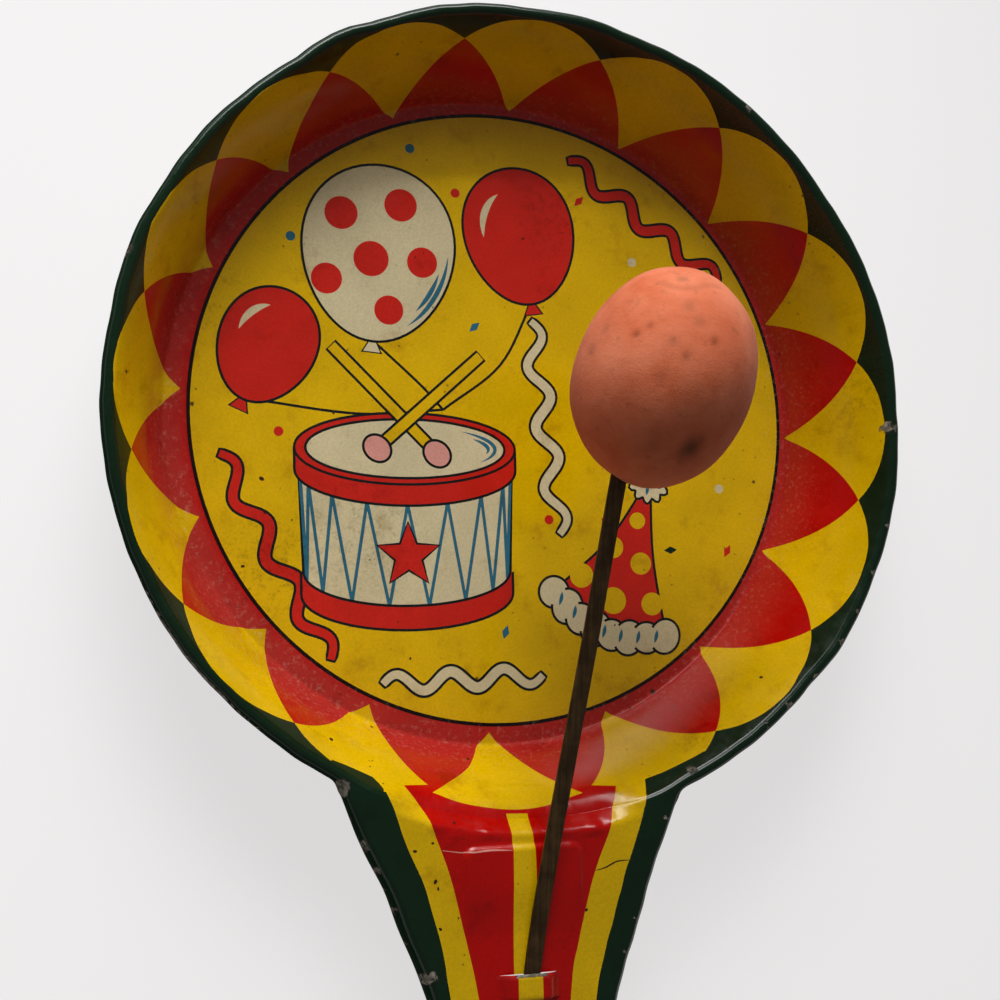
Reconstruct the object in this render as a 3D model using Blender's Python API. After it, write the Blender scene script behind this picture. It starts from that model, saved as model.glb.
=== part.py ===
"""Tin pan clapper, a hand-held noise maker.

One sheet of tinplate is pressed into a round pan with a sloping wall and a turned-over rim. It runs out into a
flat tapering handle with turned-down edges and a shallow stiffening bead. A strap struck up from the handle
holds a leaf spring, whose tail goes through a slot and is clinched behind the sheet. The pulp ball on the
spring's free end claps on the floor of the pan. The underside of that floor lies on Z = 0, its middle is the
origin, and the handle runs along -Y.
"""

from math import atan2, ceil, cos, pi, radians, sin, sqrt

import bmesh
import bpy
from mathutils import Matrix, Vector
from mathutils.geometry import delaunay_2d_cdt, interpolate_bezier

# Sheet and fits
SHEET = 0.0003
CLEARANCE = 0.0003

# Pan, whose rim is a little off the middle of its floor
PAN_RADIUS = 0.0508
RIM_SHIFT_X = 0.0012
RIM_SHIFT_Y = -0.0004
FLOOR_RADIUS = 0.0419
PAN_DEPTH = 0.0133
WALL_CROWN = 0.0011
FLOOR_BEND = 0.0005
RIDGE_BEND = 0.0003
RIM_LEDGE = 0.00045

# Turned-down edge, narrow round the rim and wider along the handle
RIM_ROLL = 0.0007
RIM_DROP = 0.0012
EDGE_ROLL = 0.00115
EDGE_DROP = 0.0024
EDGE_RUN_OUT = 0.0060

# Handle, measured outwards from the rim
HANDLE_LENGTH = 0.0846
ROOT_SINK = 0.0078
ROOT_HALF_WIDTH = 0.0220
NECK_DISTANCE = 0.0348
NECK_HALF_WIDTH = 0.0083
GRIP_HALF_WIDTH = 0.0098
ROOT_SET = 0.0014
JUNCTION_FILLET = 0.0016

# Stiffening bead at the handle's root
BEAD_DISTANCE = 0.0013
BEAD_LENGTH = 0.0110
BEAD_WIDTH = 0.0150
BEAD_RAISE = 0.0005
BEAD_EDGE = 0.0009
BEAD_CORNER = 0.0016

# Strap struck up from the handle over the spring
STRAP_DISTANCE = 0.0178
STRAP_X = -0.0010
STRAP_LENGTH = 0.0028
STRAP_SPAN = 0.0078
STRAP_SHOULDER = 0.0020
SHEAR_GAP = 0.00015

# Leaf spring
SPRING_WIDTH = 0.0020
SPRING_THICKNESS = 0.0004
SPRING_LEAN = radians(8.8)
SPRING_RISE = radians(11.1)
SPRING_EASE = 0.0091
TAIL_LENGTH = 0.0085
CLINCH_LENGTH = 0.0030

# Ball
BALL_REACH = 0.0713
BALL_OFFSET = 0.0031
BALL_RADIUS = 0.0108
BALL_HALF_LENGTH = 0.0132
BALL_TURN = radians(9.0)
BALL_GRIP = 0.0100

# Fineness
RING_STEPS = 120
BALL_SEGMENTS = 40
BALL_RINGS = 24

RIM_MIDDLE = Vector((RIM_SHIFT_X, RIM_SHIFT_Y))
RIM_FOOT = PAN_RADIUS - RIM_SHIFT_Y
WALL_TOP = PAN_RADIUS - RIM_ROLL - RIM_LEDGE
WALL_RUN = WALL_TOP - FLOOR_RADIUS
LEVEL = SHEET / 2 + PAN_DEPTH
STRAP_Y = -(RIM_FOOT + STRAP_DISTANCE)
SPRING_LEVEL = LEVEL + SHEET / 2 + CLEARANCE + SPRING_THICKNESS / 2
STRAP_LEVEL = SPRING_LEVEL + SPRING_THICKNESS / 2 + CLEARANCE + SHEET / 2
CLINCH_LEVEL = LEVEL - SHEET / 2 - CLEARANCE - SPRING_THICKNESS / 2
TAIL_BEND = (SPRING_LEVEL - CLINCH_LEVEL) / 2
ALONG_SPRING = Vector((sin(SPRING_LEAN), cos(SPRING_LEAN)))
ACROSS_SPRING = Vector((cos(SPRING_LEAN), -sin(SPRING_LEAN)))
SPRING_ROOT = Vector((STRAP_X, STRAP_Y))


def clear_scene():
    """Removes whatever the scene holds."""
    for thing in list(bpy.data.objects):
        bpy.data.objects.remove(thing)


def material(name, colour, roughness, metallic=0.0):
    """Returns a Principled BSDF material with a linear RGB colour."""
    made = bpy.data.materials.new(name)
    made.use_nodes = True
    shader = made.node_tree.nodes["Principled BSDF"]
    shader.inputs["Base Color"].default_value = (*colour, 1.0)
    shader.inputs["Roughness"].default_value = roughness
    shader.inputs["Metallic"].default_value = metallic
    return made


def new_object(name, shape, finish, origin=Vector((0.0, 0.0, 0.0)), parent=None):
    """Makes an object from a bmesh in world coordinates, with its origin moved to the point given."""
    shape.transform(Matrix.Translation(-origin))
    mesh = bpy.data.meshes.new(name)
    shape.to_mesh(mesh)
    shape.free()
    mesh.materials.append(finish)
    mesh.shade_smooth()
    mesh.set_sharp_from_angle(angle=radians(35))
    made = bpy.data.objects.new(name, mesh)
    bpy.context.scene.collection.objects.link(made)
    made.location = origin
    if parent is not None:
        made.parent = parent
        made.location = origin - parent.location
    return made


def ramp(distance, half_width):
    """Zero before a bend, the distance itself after it, and a round bend of the given half width between."""
    if distance <= -half_width:
        return 0.0
    if distance >= half_width:
        return distance
    return (distance + half_width) ** 2 / (4 * half_width)


def wall_share(point):
    """How far up the wall a plan point lies, from 0 at the crease round the floor to 1 at the ridge.

    The crease and the ridge are circles with middles a little apart, and each share between them is a circle too.
    """
    apart = RIM_MIDDLE.length_squared - WALL_RUN**2
    spread = point.dot(RIM_MIDDLE) + FLOOR_RADIUS * WALL_RUN
    beyond = point.length_squared - FLOOR_RADIUS**2
    return beyond / (spread + sqrt(max(0.0, spread**2 - apart * beyond)))


def wall_ring(reach):
    """Plan circle of the wall at a distance out from the crease."""
    middle = RIM_MIDDLE * (reach / WALL_RUN)
    turns = [2 * pi * step / RING_STEPS for step in range(RING_STEPS)]
    return [middle + Vector((cos(turn), sin(turn))) * (FLOOR_RADIUS + reach) for turn in turns]


def pressed(point):
    """Height of the sheet's middle surface at a plan point away from its edges, its bead and its strap."""
    reach = wall_share(point) * WALL_RUN
    up = max(0.0, min(1.0, reach / WALL_RUN))
    straight = PAN_DEPTH / WALL_RUN * (ramp(reach, FLOOR_BEND) - ramp(reach - WALL_RUN, RIDGE_BEND))
    return SHEET / 2 + straight + 4 * WALL_CROWN * up * (1 - up)


def handle_middle(y):
    """X of the handle's centre line, which starts a little to the left of the pan's."""
    end = -(RIM_FOOT + HANDLE_LENGTH)
    return -ROOT_SET * (y - end) / (-RIM_FOOT - end)


def handle_side():
    """Half widths of the handle as (half width, y) from inside the rim to the middle of its round end."""
    root_y = -(RIM_FOOT - ROOT_SINK)
    neck_y = -(RIM_FOOT + NECK_DISTANCE)
    grip_y = -(RIM_FOOT + HANDLE_LENGTH - GRIP_HALF_WIDTH)
    taper = root_y - neck_y
    grip = neck_y - grip_y
    flare = (ROOT_HALF_WIDTH - NECK_HALF_WIDTH) * 0.36
    sides = interpolate_bezier(
        (ROOT_HALF_WIDTH, root_y),
        (ROOT_HALF_WIDTH - flare, root_y - taper / 3),
        (NECK_HALF_WIDTH + flare * 0.1, neck_y + taper / 4),
        (NECK_HALF_WIDTH, neck_y),
        18,
    )
    sides += interpolate_bezier(
        (NECK_HALF_WIDTH, neck_y),
        (NECK_HALF_WIDTH, neck_y - grip / 3),
        (GRIP_HALF_WIDTH, grip_y + grip / 3),
        (GRIP_HALF_WIDTH, grip_y),
        12,
    )[1:]
    for step in range(1, 9):
        turn = step * pi / 16
        sides.append(Vector((GRIP_HALF_WIDTH * cos(turn), grip_y - GRIP_HALF_WIDTH * sin(turn))))
    return sides


def crossing(inner, outer):
    """Point of the segment from inner to outer that lies on the rim's circle."""
    low, high = 0.0, 1.0
    for _ in range(40):
        middle = (low + high) / 2
        if (inner.lerp(outer, middle) - RIM_MIDDLE).length < PAN_RADIUS:
            low = middle
        else:
            high = middle
    return inner.lerp(outer, low)


def handle_run(sign):
    """Plan points of one side of the handle, from the rim's circle to the tip."""
    points = [Vector((handle_middle(p[1]) + sign * p[0], p[1])) for p in handle_side()]
    first = next(i for i, p in enumerate(points) if (p - RIM_MIDDLE).length > PAN_RADIUS)
    return [crossing(points[first - 1], points[first])] + points[first:]


def filleted(before, corner, after, radius):
    """Points of a round corner that starts and ends one radius from it."""
    start = corner + (before - corner).normalized() * radius
    end = corner + (after - corner).normalized() * radius
    curve = []
    for step in range(6):
        t = step / 5
        curve.append(start * (1 - t) ** 2 + corner * (2 * t * (1 - t)) + end * t**2)
    return curve


def outline():
    """Plan outline of the blank, anticlockwise from the handle's right root round the pan and the handle."""
    right = handle_run(1)
    left = handle_run(-1)
    fillet_turn = JUNCTION_FILLET / PAN_RADIUS
    right_arm, left_arm = right[0] - RIM_MIDDLE, left[0] - RIM_MIDDLE
    start = atan2(right_arm.y, right_arm.x) + fillet_turn
    end = atan2(left_arm.y, left_arm.x) + 2 * pi - fillet_turn
    steps = ceil(RING_STEPS * (end - start) / (2 * pi))
    rim = []
    for step in range(steps + 1):
        turn = start + (end - start) * step / steps
        rim.append(RIM_MIDDLE + Vector((cos(turn), sin(turn))) * PAN_RADIUS)
    left_root = filleted(rim[-1], left[0], left[1], JUNCTION_FILLET)
    right_root = filleted(right[1], right[0], rim[0], JUNCTION_FILLET)
    left_side = [p for p in left if (p - left[0]).length > JUNCTION_FILLET * 1.3]
    right_side = [p for p in right if (p - right[0]).length > JUNCTION_FILLET * 1.3]
    return rim[:-1] + left_root + left_side + right_side[-2::-1] + right_root[:-1]


def turned_edge(loop, share):
    """One line of the turned-down edge: its plan points and heights, at a share of the way in from the outline."""
    drop_share = 1 - sqrt(1 - (1 - share) ** 2)
    points, heights = [], []
    for i, point in enumerate(loop):
        tangent = (loop[(i + 1) % len(loop)] - loop[i - 1]).normalized()
        out = (point - RIM_MIDDLE).length - PAN_RADIUS
        on_handle = max(0.0, min(1.0, out / EDGE_RUN_OUT))
        roll = RIM_ROLL + (EDGE_ROLL - RIM_ROLL) * on_handle
        drop = RIM_DROP + (EDGE_DROP - RIM_DROP) * on_handle
        points.append(point + Vector((-tangent.y, tangent.x)) * (roll * share))
        heights.append(LEVEL - drop * drop_share)
    return points, heights


def rounded_rectangle(middle, half_x, half_y, corner, steps=4):
    """Anticlockwise loop of a rectangle with round corners."""
    loop = []
    for quarter, (sx, sy) in enumerate(((1, 1), (-1, 1), (-1, -1), (1, -1))):
        centre = middle + Vector((sx * (half_x - corner), sy * (half_y - corner)))
        for step in range(steps + 1):
            turn = (quarter + step / steps) * pi / 2
            loop.append(centre + Vector((cos(turn), sin(turn))) * corner)
    return loop


def strap_columns():
    """X places across the struck strap, from its left end to its right end."""
    half = STRAP_SPAN / 2
    shoulder = [-half + STRAP_SHOULDER * step / 5 for step in range(6)]
    places = shoulder + [0.0] + [-x for x in reversed(shoulder)]
    return [STRAP_X + x for x in places]


def strap_height(x):
    """Height of the strap's middle surface, which rises from the sheet over two rounded shoulders."""
    into = (STRAP_SPAN / 2 - abs(x - STRAP_X)) / STRAP_SHOULDER
    share = max(0.0, min(1.0, into))
    return LEVEL + (STRAP_LEVEL - LEVEL) * share * share * (3 - 2 * share)


def slot_loop():
    """Plan loop of the slot that the spring's tail goes through, clear of it all round."""
    middle = SPRING_ROOT - ALONG_SPRING * (TAIL_LENGTH + TAIL_BEND)
    half_along = SPRING_THICKNESS / 2 + CLEARANCE
    half_across = SPRING_WIDTH / 2 + CLEARANCE
    corners = ((1, -1), (1, 1), (-1, 1), (-1, -1))
    return [middle + ACROSS_SPRING * (a * half_across) + ALONG_SPRING * (b * half_along) for a, b in corners]


def inside(point, loop):
    """Whether a plan point lies inside a closed loop."""
    found = False
    for i, a in enumerate(loop):
        b = loop[i - 1]
        if (a.y > point.y) != (b.y > point.y) and point.x < (b.x - a.x) * (point.y - a.y) / (b.y - a.y) + a.x:
            found = not found
    return found


class Blank:
    """The sheet's plan, kept as points with heights and the lines that the mesh has to follow."""

    def __init__(self):
        self.points = []
        self.heights = []
        self.lines = []

    def add_loop(self, loop, heights):
        """Adds a closed line of plan points with their heights."""
        first = len(self.points)
        self.points += loop
        self.heights += heights
        self.lines += [(first + i, first + (i + 1) % len(loop)) for i in range(len(loop))]


def bead_loops():
    """Loops of the bead as (loop, height above the handle)."""
    middle_y = -(RIM_FOOT + BEAD_DISTANCE + BEAD_LENGTH / 2)
    middle = Vector((handle_middle(middle_y), middle_y))
    loops = []
    for share, lift in ((0.0, 0.0), (0.35, 0.2), (0.65, 0.8), (1.0, 1.0)):
        edge = BEAD_EDGE * share
        half_x = BEAD_WIDTH / 2 - edge
        half_y = BEAD_LENGTH / 2 - edge
        loops.append((rounded_rectangle(middle, half_x, half_y, BEAD_CORNER - edge), BEAD_RAISE * lift))
    return loops


def strap_hole():
    """Plan loop of the opening under the strap, with a point wherever the strap's mesh needs one."""
    columns = strap_columns()
    half = STRAP_LENGTH / 2
    low = [Vector((x, STRAP_Y - half - SHEAR_GAP)) for x in columns]
    high = [Vector((x, STRAP_Y + half + SHEAR_GAP)) for x in reversed(columns)]
    right = [Vector((columns[-1], STRAP_Y + side * half)) for side in (-1, 1)]
    left = [Vector((columns[0], STRAP_Y - side * half)) for side in (-1, 1)]
    return low + right + high + left


def sheet_blank():
    """Collects every line of the pan and its handle, and the loops whose insides are cut away."""
    blank = Blank()
    rim = outline()
    for share in (0.0, 0.12, 0.4, 0.7, 1.0):
        blank.add_loop(*turned_edge(rim, share))
    wall = WALL_RUN - RIDGE_BEND - FLOOR_BEND
    reaches = [-2 * FLOOR_BEND, -FLOOR_BEND, 0.0, FLOOR_BEND]
    reaches += [FLOOR_BEND + wall * share for share in (1 / 3, 2 / 3, 1.0)]
    reaches += [WALL_RUN, WALL_RUN + RIDGE_BEND]
    for reach in reaches:
        ring = wall_ring(reach)
        blank.add_loop(ring, [pressed(p) for p in ring])
    for loop, lift in bead_loops():
        blank.add_loop(loop, [LEVEL + lift] * len(loop))
    holes = [strap_hole(), slot_loop()]
    for hole in holes:
        blank.add_loop(hole, [LEVEL] * len(hole))
    return blank, holes


def add_strap(shape, made):
    """Adds the raised strap across its opening, joined to the sheet at both ends."""
    columns = strap_columns()
    half = STRAP_LENGTH / 2
    by_place = {(round(v.co.x, 7), round(v.co.y, 7)): v for v in made}
    rows = []
    for side in (-1, 1):
        row = []
        for x in columns:
            place = (round(x, 7), round(STRAP_Y + side * half, 7))
            row.append(by_place.get(place) or shape.verts.new((x, STRAP_Y + side * half, strap_height(x))))
        rows.append(row)
    for i in range(len(columns) - 1):
        shape.faces.new((rows[0][i], rows[0][i + 1], rows[1][i + 1], rows[1][i]))


def make_sheet(finish):
    """Builds the pan and its handle: the blank's plan meshed, lifted to its pressed form and thickened."""
    blank, holes = sheet_blank()
    points, _, faces, sources, _, _ = delaunay_2d_cdt(blank.points, blank.lines, [], 1, 1e-8)
    shape = bmesh.new()
    verts = []
    for point, source in zip(points, sources):
        height = blank.heights[source[0]] if source else pressed(point)
        verts.append(shape.verts.new((point.x, point.y, height)))
    for face in faces:
        middle = sum((points[i] for i in face), Vector((0.0, 0.0))) / len(face)
        if not any(inside(middle, hole) for hole in holes):
            shape.faces.new([verts[i] for i in face])
    add_strap(shape, verts)
    bmesh.ops.delete(shape, geom=[v for v in shape.verts if not v.link_faces], context="VERTS")
    bmesh.ops.recalc_face_normals(shape, faces=shape.faces)
    if sum(face.normal.z for face in shape.faces) < 0:
        bmesh.ops.reverse_faces(shape, faces=shape.faces)
    made = new_object("tin_pan", shape, finish)
    thicken = made.modifiers.new("sheet thickness", "SOLIDIFY")
    thicken.thickness = SHEET
    thicken.offset = 0.0
    thicken.use_even_offset = True
    return made


def spring_height(along):
    """Height of the spring's middle at a distance from the strap's middle towards the ball."""
    slope = sin(SPRING_RISE) / cos(SPRING_RISE)
    free = along - STRAP_LENGTH / 2
    if free <= 0:
        return SPRING_LEVEL
    if free < SPRING_EASE:
        return SPRING_LEVEL + slope * free * free / (2 * SPRING_EASE)
    return SPRING_LEVEL + slope * (free - SPRING_EASE / 2)


def spring_tip():
    """Distance from the strap's middle to the spring's end inside the ball."""
    chord = BALL_RADIUS * sqrt(max(0.0, 1 - (BALL_OFFSET / BALL_RADIUS) ** 2))
    return BALL_REACH - chord + BALL_GRIP


def spring_path():
    """The spring's middle line as (distance along its plan direction, height), ball end first."""
    tip = spring_tip()
    bent = STRAP_LENGTH / 2 + SPRING_EASE
    stations = [bent + (tip - bent) * step / 10 for step in range(10, 0, -1)]
    stations += [STRAP_LENGTH / 2 + SPRING_EASE * step / 8 for step in range(8, -1, -1)]
    stations += [-STRAP_LENGTH / 2, -TAIL_LENGTH]
    path = [(along, spring_height(along)) for along in stations]
    for step in range(1, 13):
        turn = (1 + step / 6) * pi / 2
        path.append((-TAIL_LENGTH + TAIL_BEND * cos(turn), CLINCH_LEVEL + TAIL_BEND * (1 + sin(turn))))
    path.append((-TAIL_LENGTH + CLINCH_LENGTH, CLINCH_LEVEL))
    return path


def spring_place(along, across, height):
    """World point at a distance along and across the spring's plan direction."""
    plan = SPRING_ROOT + ALONG_SPRING * along + ACROSS_SPRING * across
    return Vector((plan.x, plan.y, height))


def make_spring(finish, pivot):
    """Builds the leaf spring as a ribbon along its path, thickened to both sides."""
    shape = bmesh.new()
    rows = []
    for along, height in spring_path():
        sides = [spring_place(along, side * SPRING_WIDTH / 2, height) for side in (-1, 1)]
        rows.append([shape.verts.new(p) for p in sides])
    for a, b in zip(rows, rows[1:]):
        shape.faces.new((a[0], b[0], b[1], a[1]))
    bmesh.ops.recalc_face_normals(shape, faces=shape.faces)
    made = new_object("leaf_spring", shape, finish, pivot.location.copy(), pivot)
    thicken = made.modifiers.new("leaf thickness", "SOLIDIFY")
    thicken.thickness = SPRING_THICKNESS
    thicken.offset = 0.0
    thicken.use_even_offset = True
    return made


def tilted_frame(middle, lean, rise):
    """Matrix whose Y axis leans to the right of +Y and rises from the plan."""
    return Matrix.Translation(middle) @ Matrix.Rotation(-lean, 4, "Z") @ Matrix.Rotation(rise, 4, "X")


def make_ball_slot():
    """Cutter for the slot in the ball, one clearance larger than the spring that it takes."""
    tip = spring_tip()
    outer = tip - BALL_GRIP - BALL_HALF_LENGTH
    inner = tip + CLEARANCE
    middle = spring_place((outer + inner) / 2, 0.0, spring_height((outer + inner) / 2))
    shape = bmesh.new()
    bmesh.ops.create_cube(shape, size=1.0)
    width = SPRING_WIDTH + 2 * CLEARANCE
    thickness = SPRING_THICKNESS + 2 * CLEARANCE
    bmesh.ops.scale(shape, vec=(width, (inner - outer) / cos(SPRING_RISE), thickness), verts=shape.verts)
    shape.transform(tilted_frame(middle, SPRING_LEAN, SPRING_RISE))
    mesh = bpy.data.meshes.new("ball slot cutter")
    shape.to_mesh(mesh)
    shape.free()
    cutter = bpy.data.objects.new("ball slot cutter", mesh)
    bpy.context.scene.collection.objects.link(cutter)
    cutter.hide_render = True
    cutter.display_type = "WIRE"
    return cutter


def make_ball(finish, pivot):
    """Builds the pulp ball, a little longer than wide and slotted to one side of its middle."""
    middle = spring_place(BALL_REACH, BALL_OFFSET, spring_height(BALL_REACH))
    shape = bmesh.new()
    bmesh.ops.create_uvsphere(shape, u_segments=BALL_SEGMENTS, v_segments=BALL_RINGS, radius=1.0)
    bmesh.ops.rotate(shape, matrix=Matrix.Rotation(pi / 2, 3, "X"), verts=shape.verts)
    bmesh.ops.scale(shape, vec=(BALL_RADIUS, BALL_HALF_LENGTH, BALL_RADIUS), verts=shape.verts)
    shape.transform(tilted_frame(middle, SPRING_LEAN + BALL_TURN, SPRING_RISE))
    made = new_object("clapper_ball", shape, finish, pivot.location.copy(), pivot)
    cut = made.modifiers.new("spring slot", "BOOLEAN")
    cut.operation = "DIFFERENCE"
    cut.solver = "EXACT"
    cut.object = make_ball_slot()
    return made


def make_pivot():
    """Empty on the line that the spring flexes about, just past the strap."""
    pivot = bpy.data.objects.new("clapper pivot", None)
    bpy.context.scene.collection.objects.link(pivot)
    along = STRAP_LENGTH / 2 + SPRING_EASE
    pivot.location = spring_place(along, 0.0, spring_height(along))
    return pivot


def main():
    """Builds the clapper."""
    clear_scene()
    tin = material("enamelled tinplate", (0.55, 0.38, 0.01), 0.3)
    steel = material("browned spring steel", (0.03, 0.015, 0.005), 0.45, 1.0)
    pulp = material("painted pulp", (0.63, 0.19, 0.11), 0.9)
    make_sheet(tin)
    pivot = make_pivot()
    make_spring(steel, pivot)
    make_ball(pulp, pivot)


main()
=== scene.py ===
"""Tin pan clapper, a hand-held noise maker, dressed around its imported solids.

The pan and its handle are one sheet of tinplate, printed flat and then pressed. The sheet is built here from
its plan: every edge of the print is an edge of the mesh, so each ink ends as sharply as it does on the tin.
The leaf spring bends between the pan and the ball, and the ball is painted pulp.
"""

from __future__ import annotations

import logging
import math
from collections.abc import Callable, Mapping, Sequence
from dataclasses import dataclass, field
from enum import Enum
from functools import partial

import bpy
import numpy as np
from mathutils import Matrix, Vector
from mathutils.geometry import delaunay_2d_cdt, interpolate_bezier

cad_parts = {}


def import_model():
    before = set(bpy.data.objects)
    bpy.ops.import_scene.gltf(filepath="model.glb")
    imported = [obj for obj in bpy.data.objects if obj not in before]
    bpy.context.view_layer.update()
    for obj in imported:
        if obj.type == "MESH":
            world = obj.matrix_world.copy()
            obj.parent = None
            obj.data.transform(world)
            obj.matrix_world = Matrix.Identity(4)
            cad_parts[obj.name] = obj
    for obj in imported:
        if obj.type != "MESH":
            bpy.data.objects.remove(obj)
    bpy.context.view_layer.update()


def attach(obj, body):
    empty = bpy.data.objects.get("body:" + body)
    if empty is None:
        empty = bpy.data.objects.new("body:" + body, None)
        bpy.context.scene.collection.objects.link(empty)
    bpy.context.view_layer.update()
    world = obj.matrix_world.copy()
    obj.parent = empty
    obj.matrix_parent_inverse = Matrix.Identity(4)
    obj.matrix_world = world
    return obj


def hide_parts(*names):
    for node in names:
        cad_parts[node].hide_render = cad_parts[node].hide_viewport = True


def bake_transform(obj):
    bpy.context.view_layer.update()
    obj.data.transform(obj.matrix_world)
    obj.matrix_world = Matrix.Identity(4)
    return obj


LOG = logging.getLogger("tin_pan_clapper")
MM = 0.001

Array = np.ndarray
Pair = tuple[float, float]
Triple = tuple[float, float, float]
Rows = tuple[tuple[float, ...], ...]
Socket = bpy.types.NodeSocket
Inputs = Mapping[int | str, object] | Sequence[object]


class Ink(Enum):
    """The printed enamels, as sRGB hex."""

    YELLOW = "#E0B400"
    RED = "#B80400"
    # Not an ink of its own: the painted sheen turns the red to this near the crease.
    CRIMSON = "#B4322A"
    SCARLET = "#CC2418"
    GREEN = "#0C2613"
    CREAM = "#D8CAA0"
    LINE = "#151A1A"
    RING = "#160806"
    TEAL = "#2E6A80"
    PINK = "#DE9A8C"
    SCRATCH = "#3A2410"


class Side(Enum):
    """Which way an edge or a flank of the handle lies."""

    LEFT = -1
    RIGHT = 1


def linear(colour: str) -> tuple[float, float, float, float]:
    """Turns an sRGB hex colour into linear RGBA.

    Args:
        colour: A hex colour such as "#E0B800".

    Returns:
        Linear red, green, blue and an alpha of one.
    """
    parts = [int(colour[i : i + 2], 16) / 255 for i in (1, 3, 5)]
    light = [c / 12.92 if c <= 0.04045 else ((c + 0.055) / 1.055) ** 2.4 for c in parts]
    return (light[0], light[1], light[2], 1.0)


def plug(node: bpy.types.Node, inputs: Inputs) -> None:
    """Links output sockets to a node's inputs, and sets its other inputs to plain values.

    Args:
        node: The node.
        inputs: Values or output sockets, in order or by input name or number.
    """
    for key, value in (inputs if isinstance(inputs, Mapping) else dict(enumerate(inputs))).items():
        if isinstance(value, Socket):
            node.id_data.links.new(value, node.inputs[key])
        else:
            node.inputs[key].default_value = value


def add_node(
    tree: bpy.types.NodeTree, kind: str, inputs: Inputs = (), out: int | str = 0, **settings: object
) -> Socket:
    """Adds one shader node with its settings, values and links.

    Args:
        tree: The material's node tree.
        kind: The node's type, without ShaderNode in front.
        inputs: Values or output sockets, in order or by input name or number.
        out: The output that is handed back.
        **settings: Properties of the node itself.

    Returns:
        That output's socket.
    """
    node = tree.nodes.new("ShaderNode" + kind)
    for name, value in settings.items():
        setattr(node, name, value)
    plug(node, inputs)
    return node.outputs[out]


def start_finish(name: str) -> tuple[bpy.types.Material, Callable[..., Socket], Socket]:
    """Starts a material.

    Args:
        name: The real material and how its surface was made.

    Returns:
        The material, its own add_node, and the place on the object in millimetres that patterns are laid by.
    """
    material = bpy.data.materials.new(name)
    material.use_nodes = True
    add = partial(add_node, material.node_tree)
    return material, add, add("Attribute", out="Vector", attribute_name="place")


def end_finish(material: bpy.types.Material, inputs: Inputs) -> bpy.types.Material:
    """Hands values and sockets to the material's shader, and the material back."""
    plug(material.node_tree.nodes["Principled BSDF"], inputs)
    return material


def smoothstep(low: float, high: float, value: Array) -> Array:
    """Rises smoothly from zero at low to one at high."""
    share = np.clip((value - low) / (high - low), 0.0, 1.0)
    return share * share * (3 - 2 * share)


def ramp(distance: Array, half_width: float) -> Array:
    """Zero before a bend, the distance itself after it, and a round bend between."""
    bent = (distance + half_width) ** 2 / (4 * half_width)
    return np.where(distance <= -half_width, 0.0, np.where(distance >= half_width, distance, bent))


def smooth_curve(points: Sequence[Sequence[float]], steps: int = 8) -> Array:
    """Runs an open Catmull-Rom curve through points.

    Args:
        points: The points that the curve passes.
        steps: Pieces between two points.

    Returns:
        The curve's points, one row each.
    """
    given = np.array(points, float)
    padded = np.vstack([2 * given[0] - given[1], given, 2 * given[-1] - given[-2]])
    t = np.linspace(0, 1, steps, endpoint=False)[:, None]
    curve = []
    for i in range(len(given) - 1):
        a, b, c, d = padded[i : i + 4]
        bend = 2 * a - 5 * b + 4 * c - d
        turn = 3 * b - a - 3 * c + d
        curve.append((2 * b + (c - a) * t + bend * t**2 + turn * t**3) / 2)
    return np.vstack([*curve, given[-1:]])


def around(turns: Array) -> Array:
    """Unit plan vectors at turns in radians, one row each."""
    return np.stack([np.cos(turns), np.sin(turns)], -1)


def set_down(x: Array, y: Array, centre: Sequence[float], turn: float) -> Array:
    """Plan points turned by degrees and moved to a centre, one row each."""
    c, s = math.cos(math.radians(turn)), math.sin(math.radians(turn))
    return np.stack([centre[0] + c * x - s * y, centre[1] + s * x + c * y], 1)


def ellipse(centre: Sequence[float], wide: float, high: float, turn: float = 0.0, steps: int = 48) -> Array:
    """Closed loop of an ellipse with half sizes wide and high, turned by degrees."""
    angles = np.linspace(0, 2 * math.pi, steps, endpoint=False)
    return set_down(wide * np.cos(angles), high * np.sin(angles), centre, turn)


def normals_of(line: Array, closed: bool) -> Array:
    """Unit normals to the right of a line's own direction.

    Args:
        line: Points in order, one row each.
        closed: Whether the last point meets the first.

    Returns:
        One normal for each point.
    """
    if closed:
        along = np.roll(line, -1, 0) - np.roll(line, 1, 0)
    else:
        along = np.gradient(line, axis=0)
    along /= np.maximum(np.linalg.norm(along, axis=1, keepdims=True), 1e-9)
    return np.stack([along[:, 1], -along[:, 0]], 1)


def area_of(loop: Array) -> float:
    """Signed area of a closed loop, positive if it runs anticlockwise."""
    x, y = loop[:, 0], loop[:, 1]
    return float(np.sum(x * np.roll(y, -1) - y * np.roll(x, -1)) / 2)


def grown(loop: Array, amount: float) -> Array:
    """The closed loop moved outwards along its normals."""
    outward = normals_of(loop, closed=True) * (1 if area_of(loop) > 0 else -1)
    return loop + outward * amount


def stroke(line: Array, width: float, taper: float = 0.0) -> Array:
    """Closed loop of a drawn line.

    Args:
        line: The line's points.
        width: Its width at its middle.
        taper: The share of the width that is lost at both ends.

    Returns:
        The loop round the line.
    """
    place = np.linspace(-1, 1, len(line))[:, None]
    half = width / 2 * (1 - taper * place**2)
    side = normals_of(line, closed=False) * half
    return np.vstack([line + side, (line - side)[::-1]])


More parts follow.
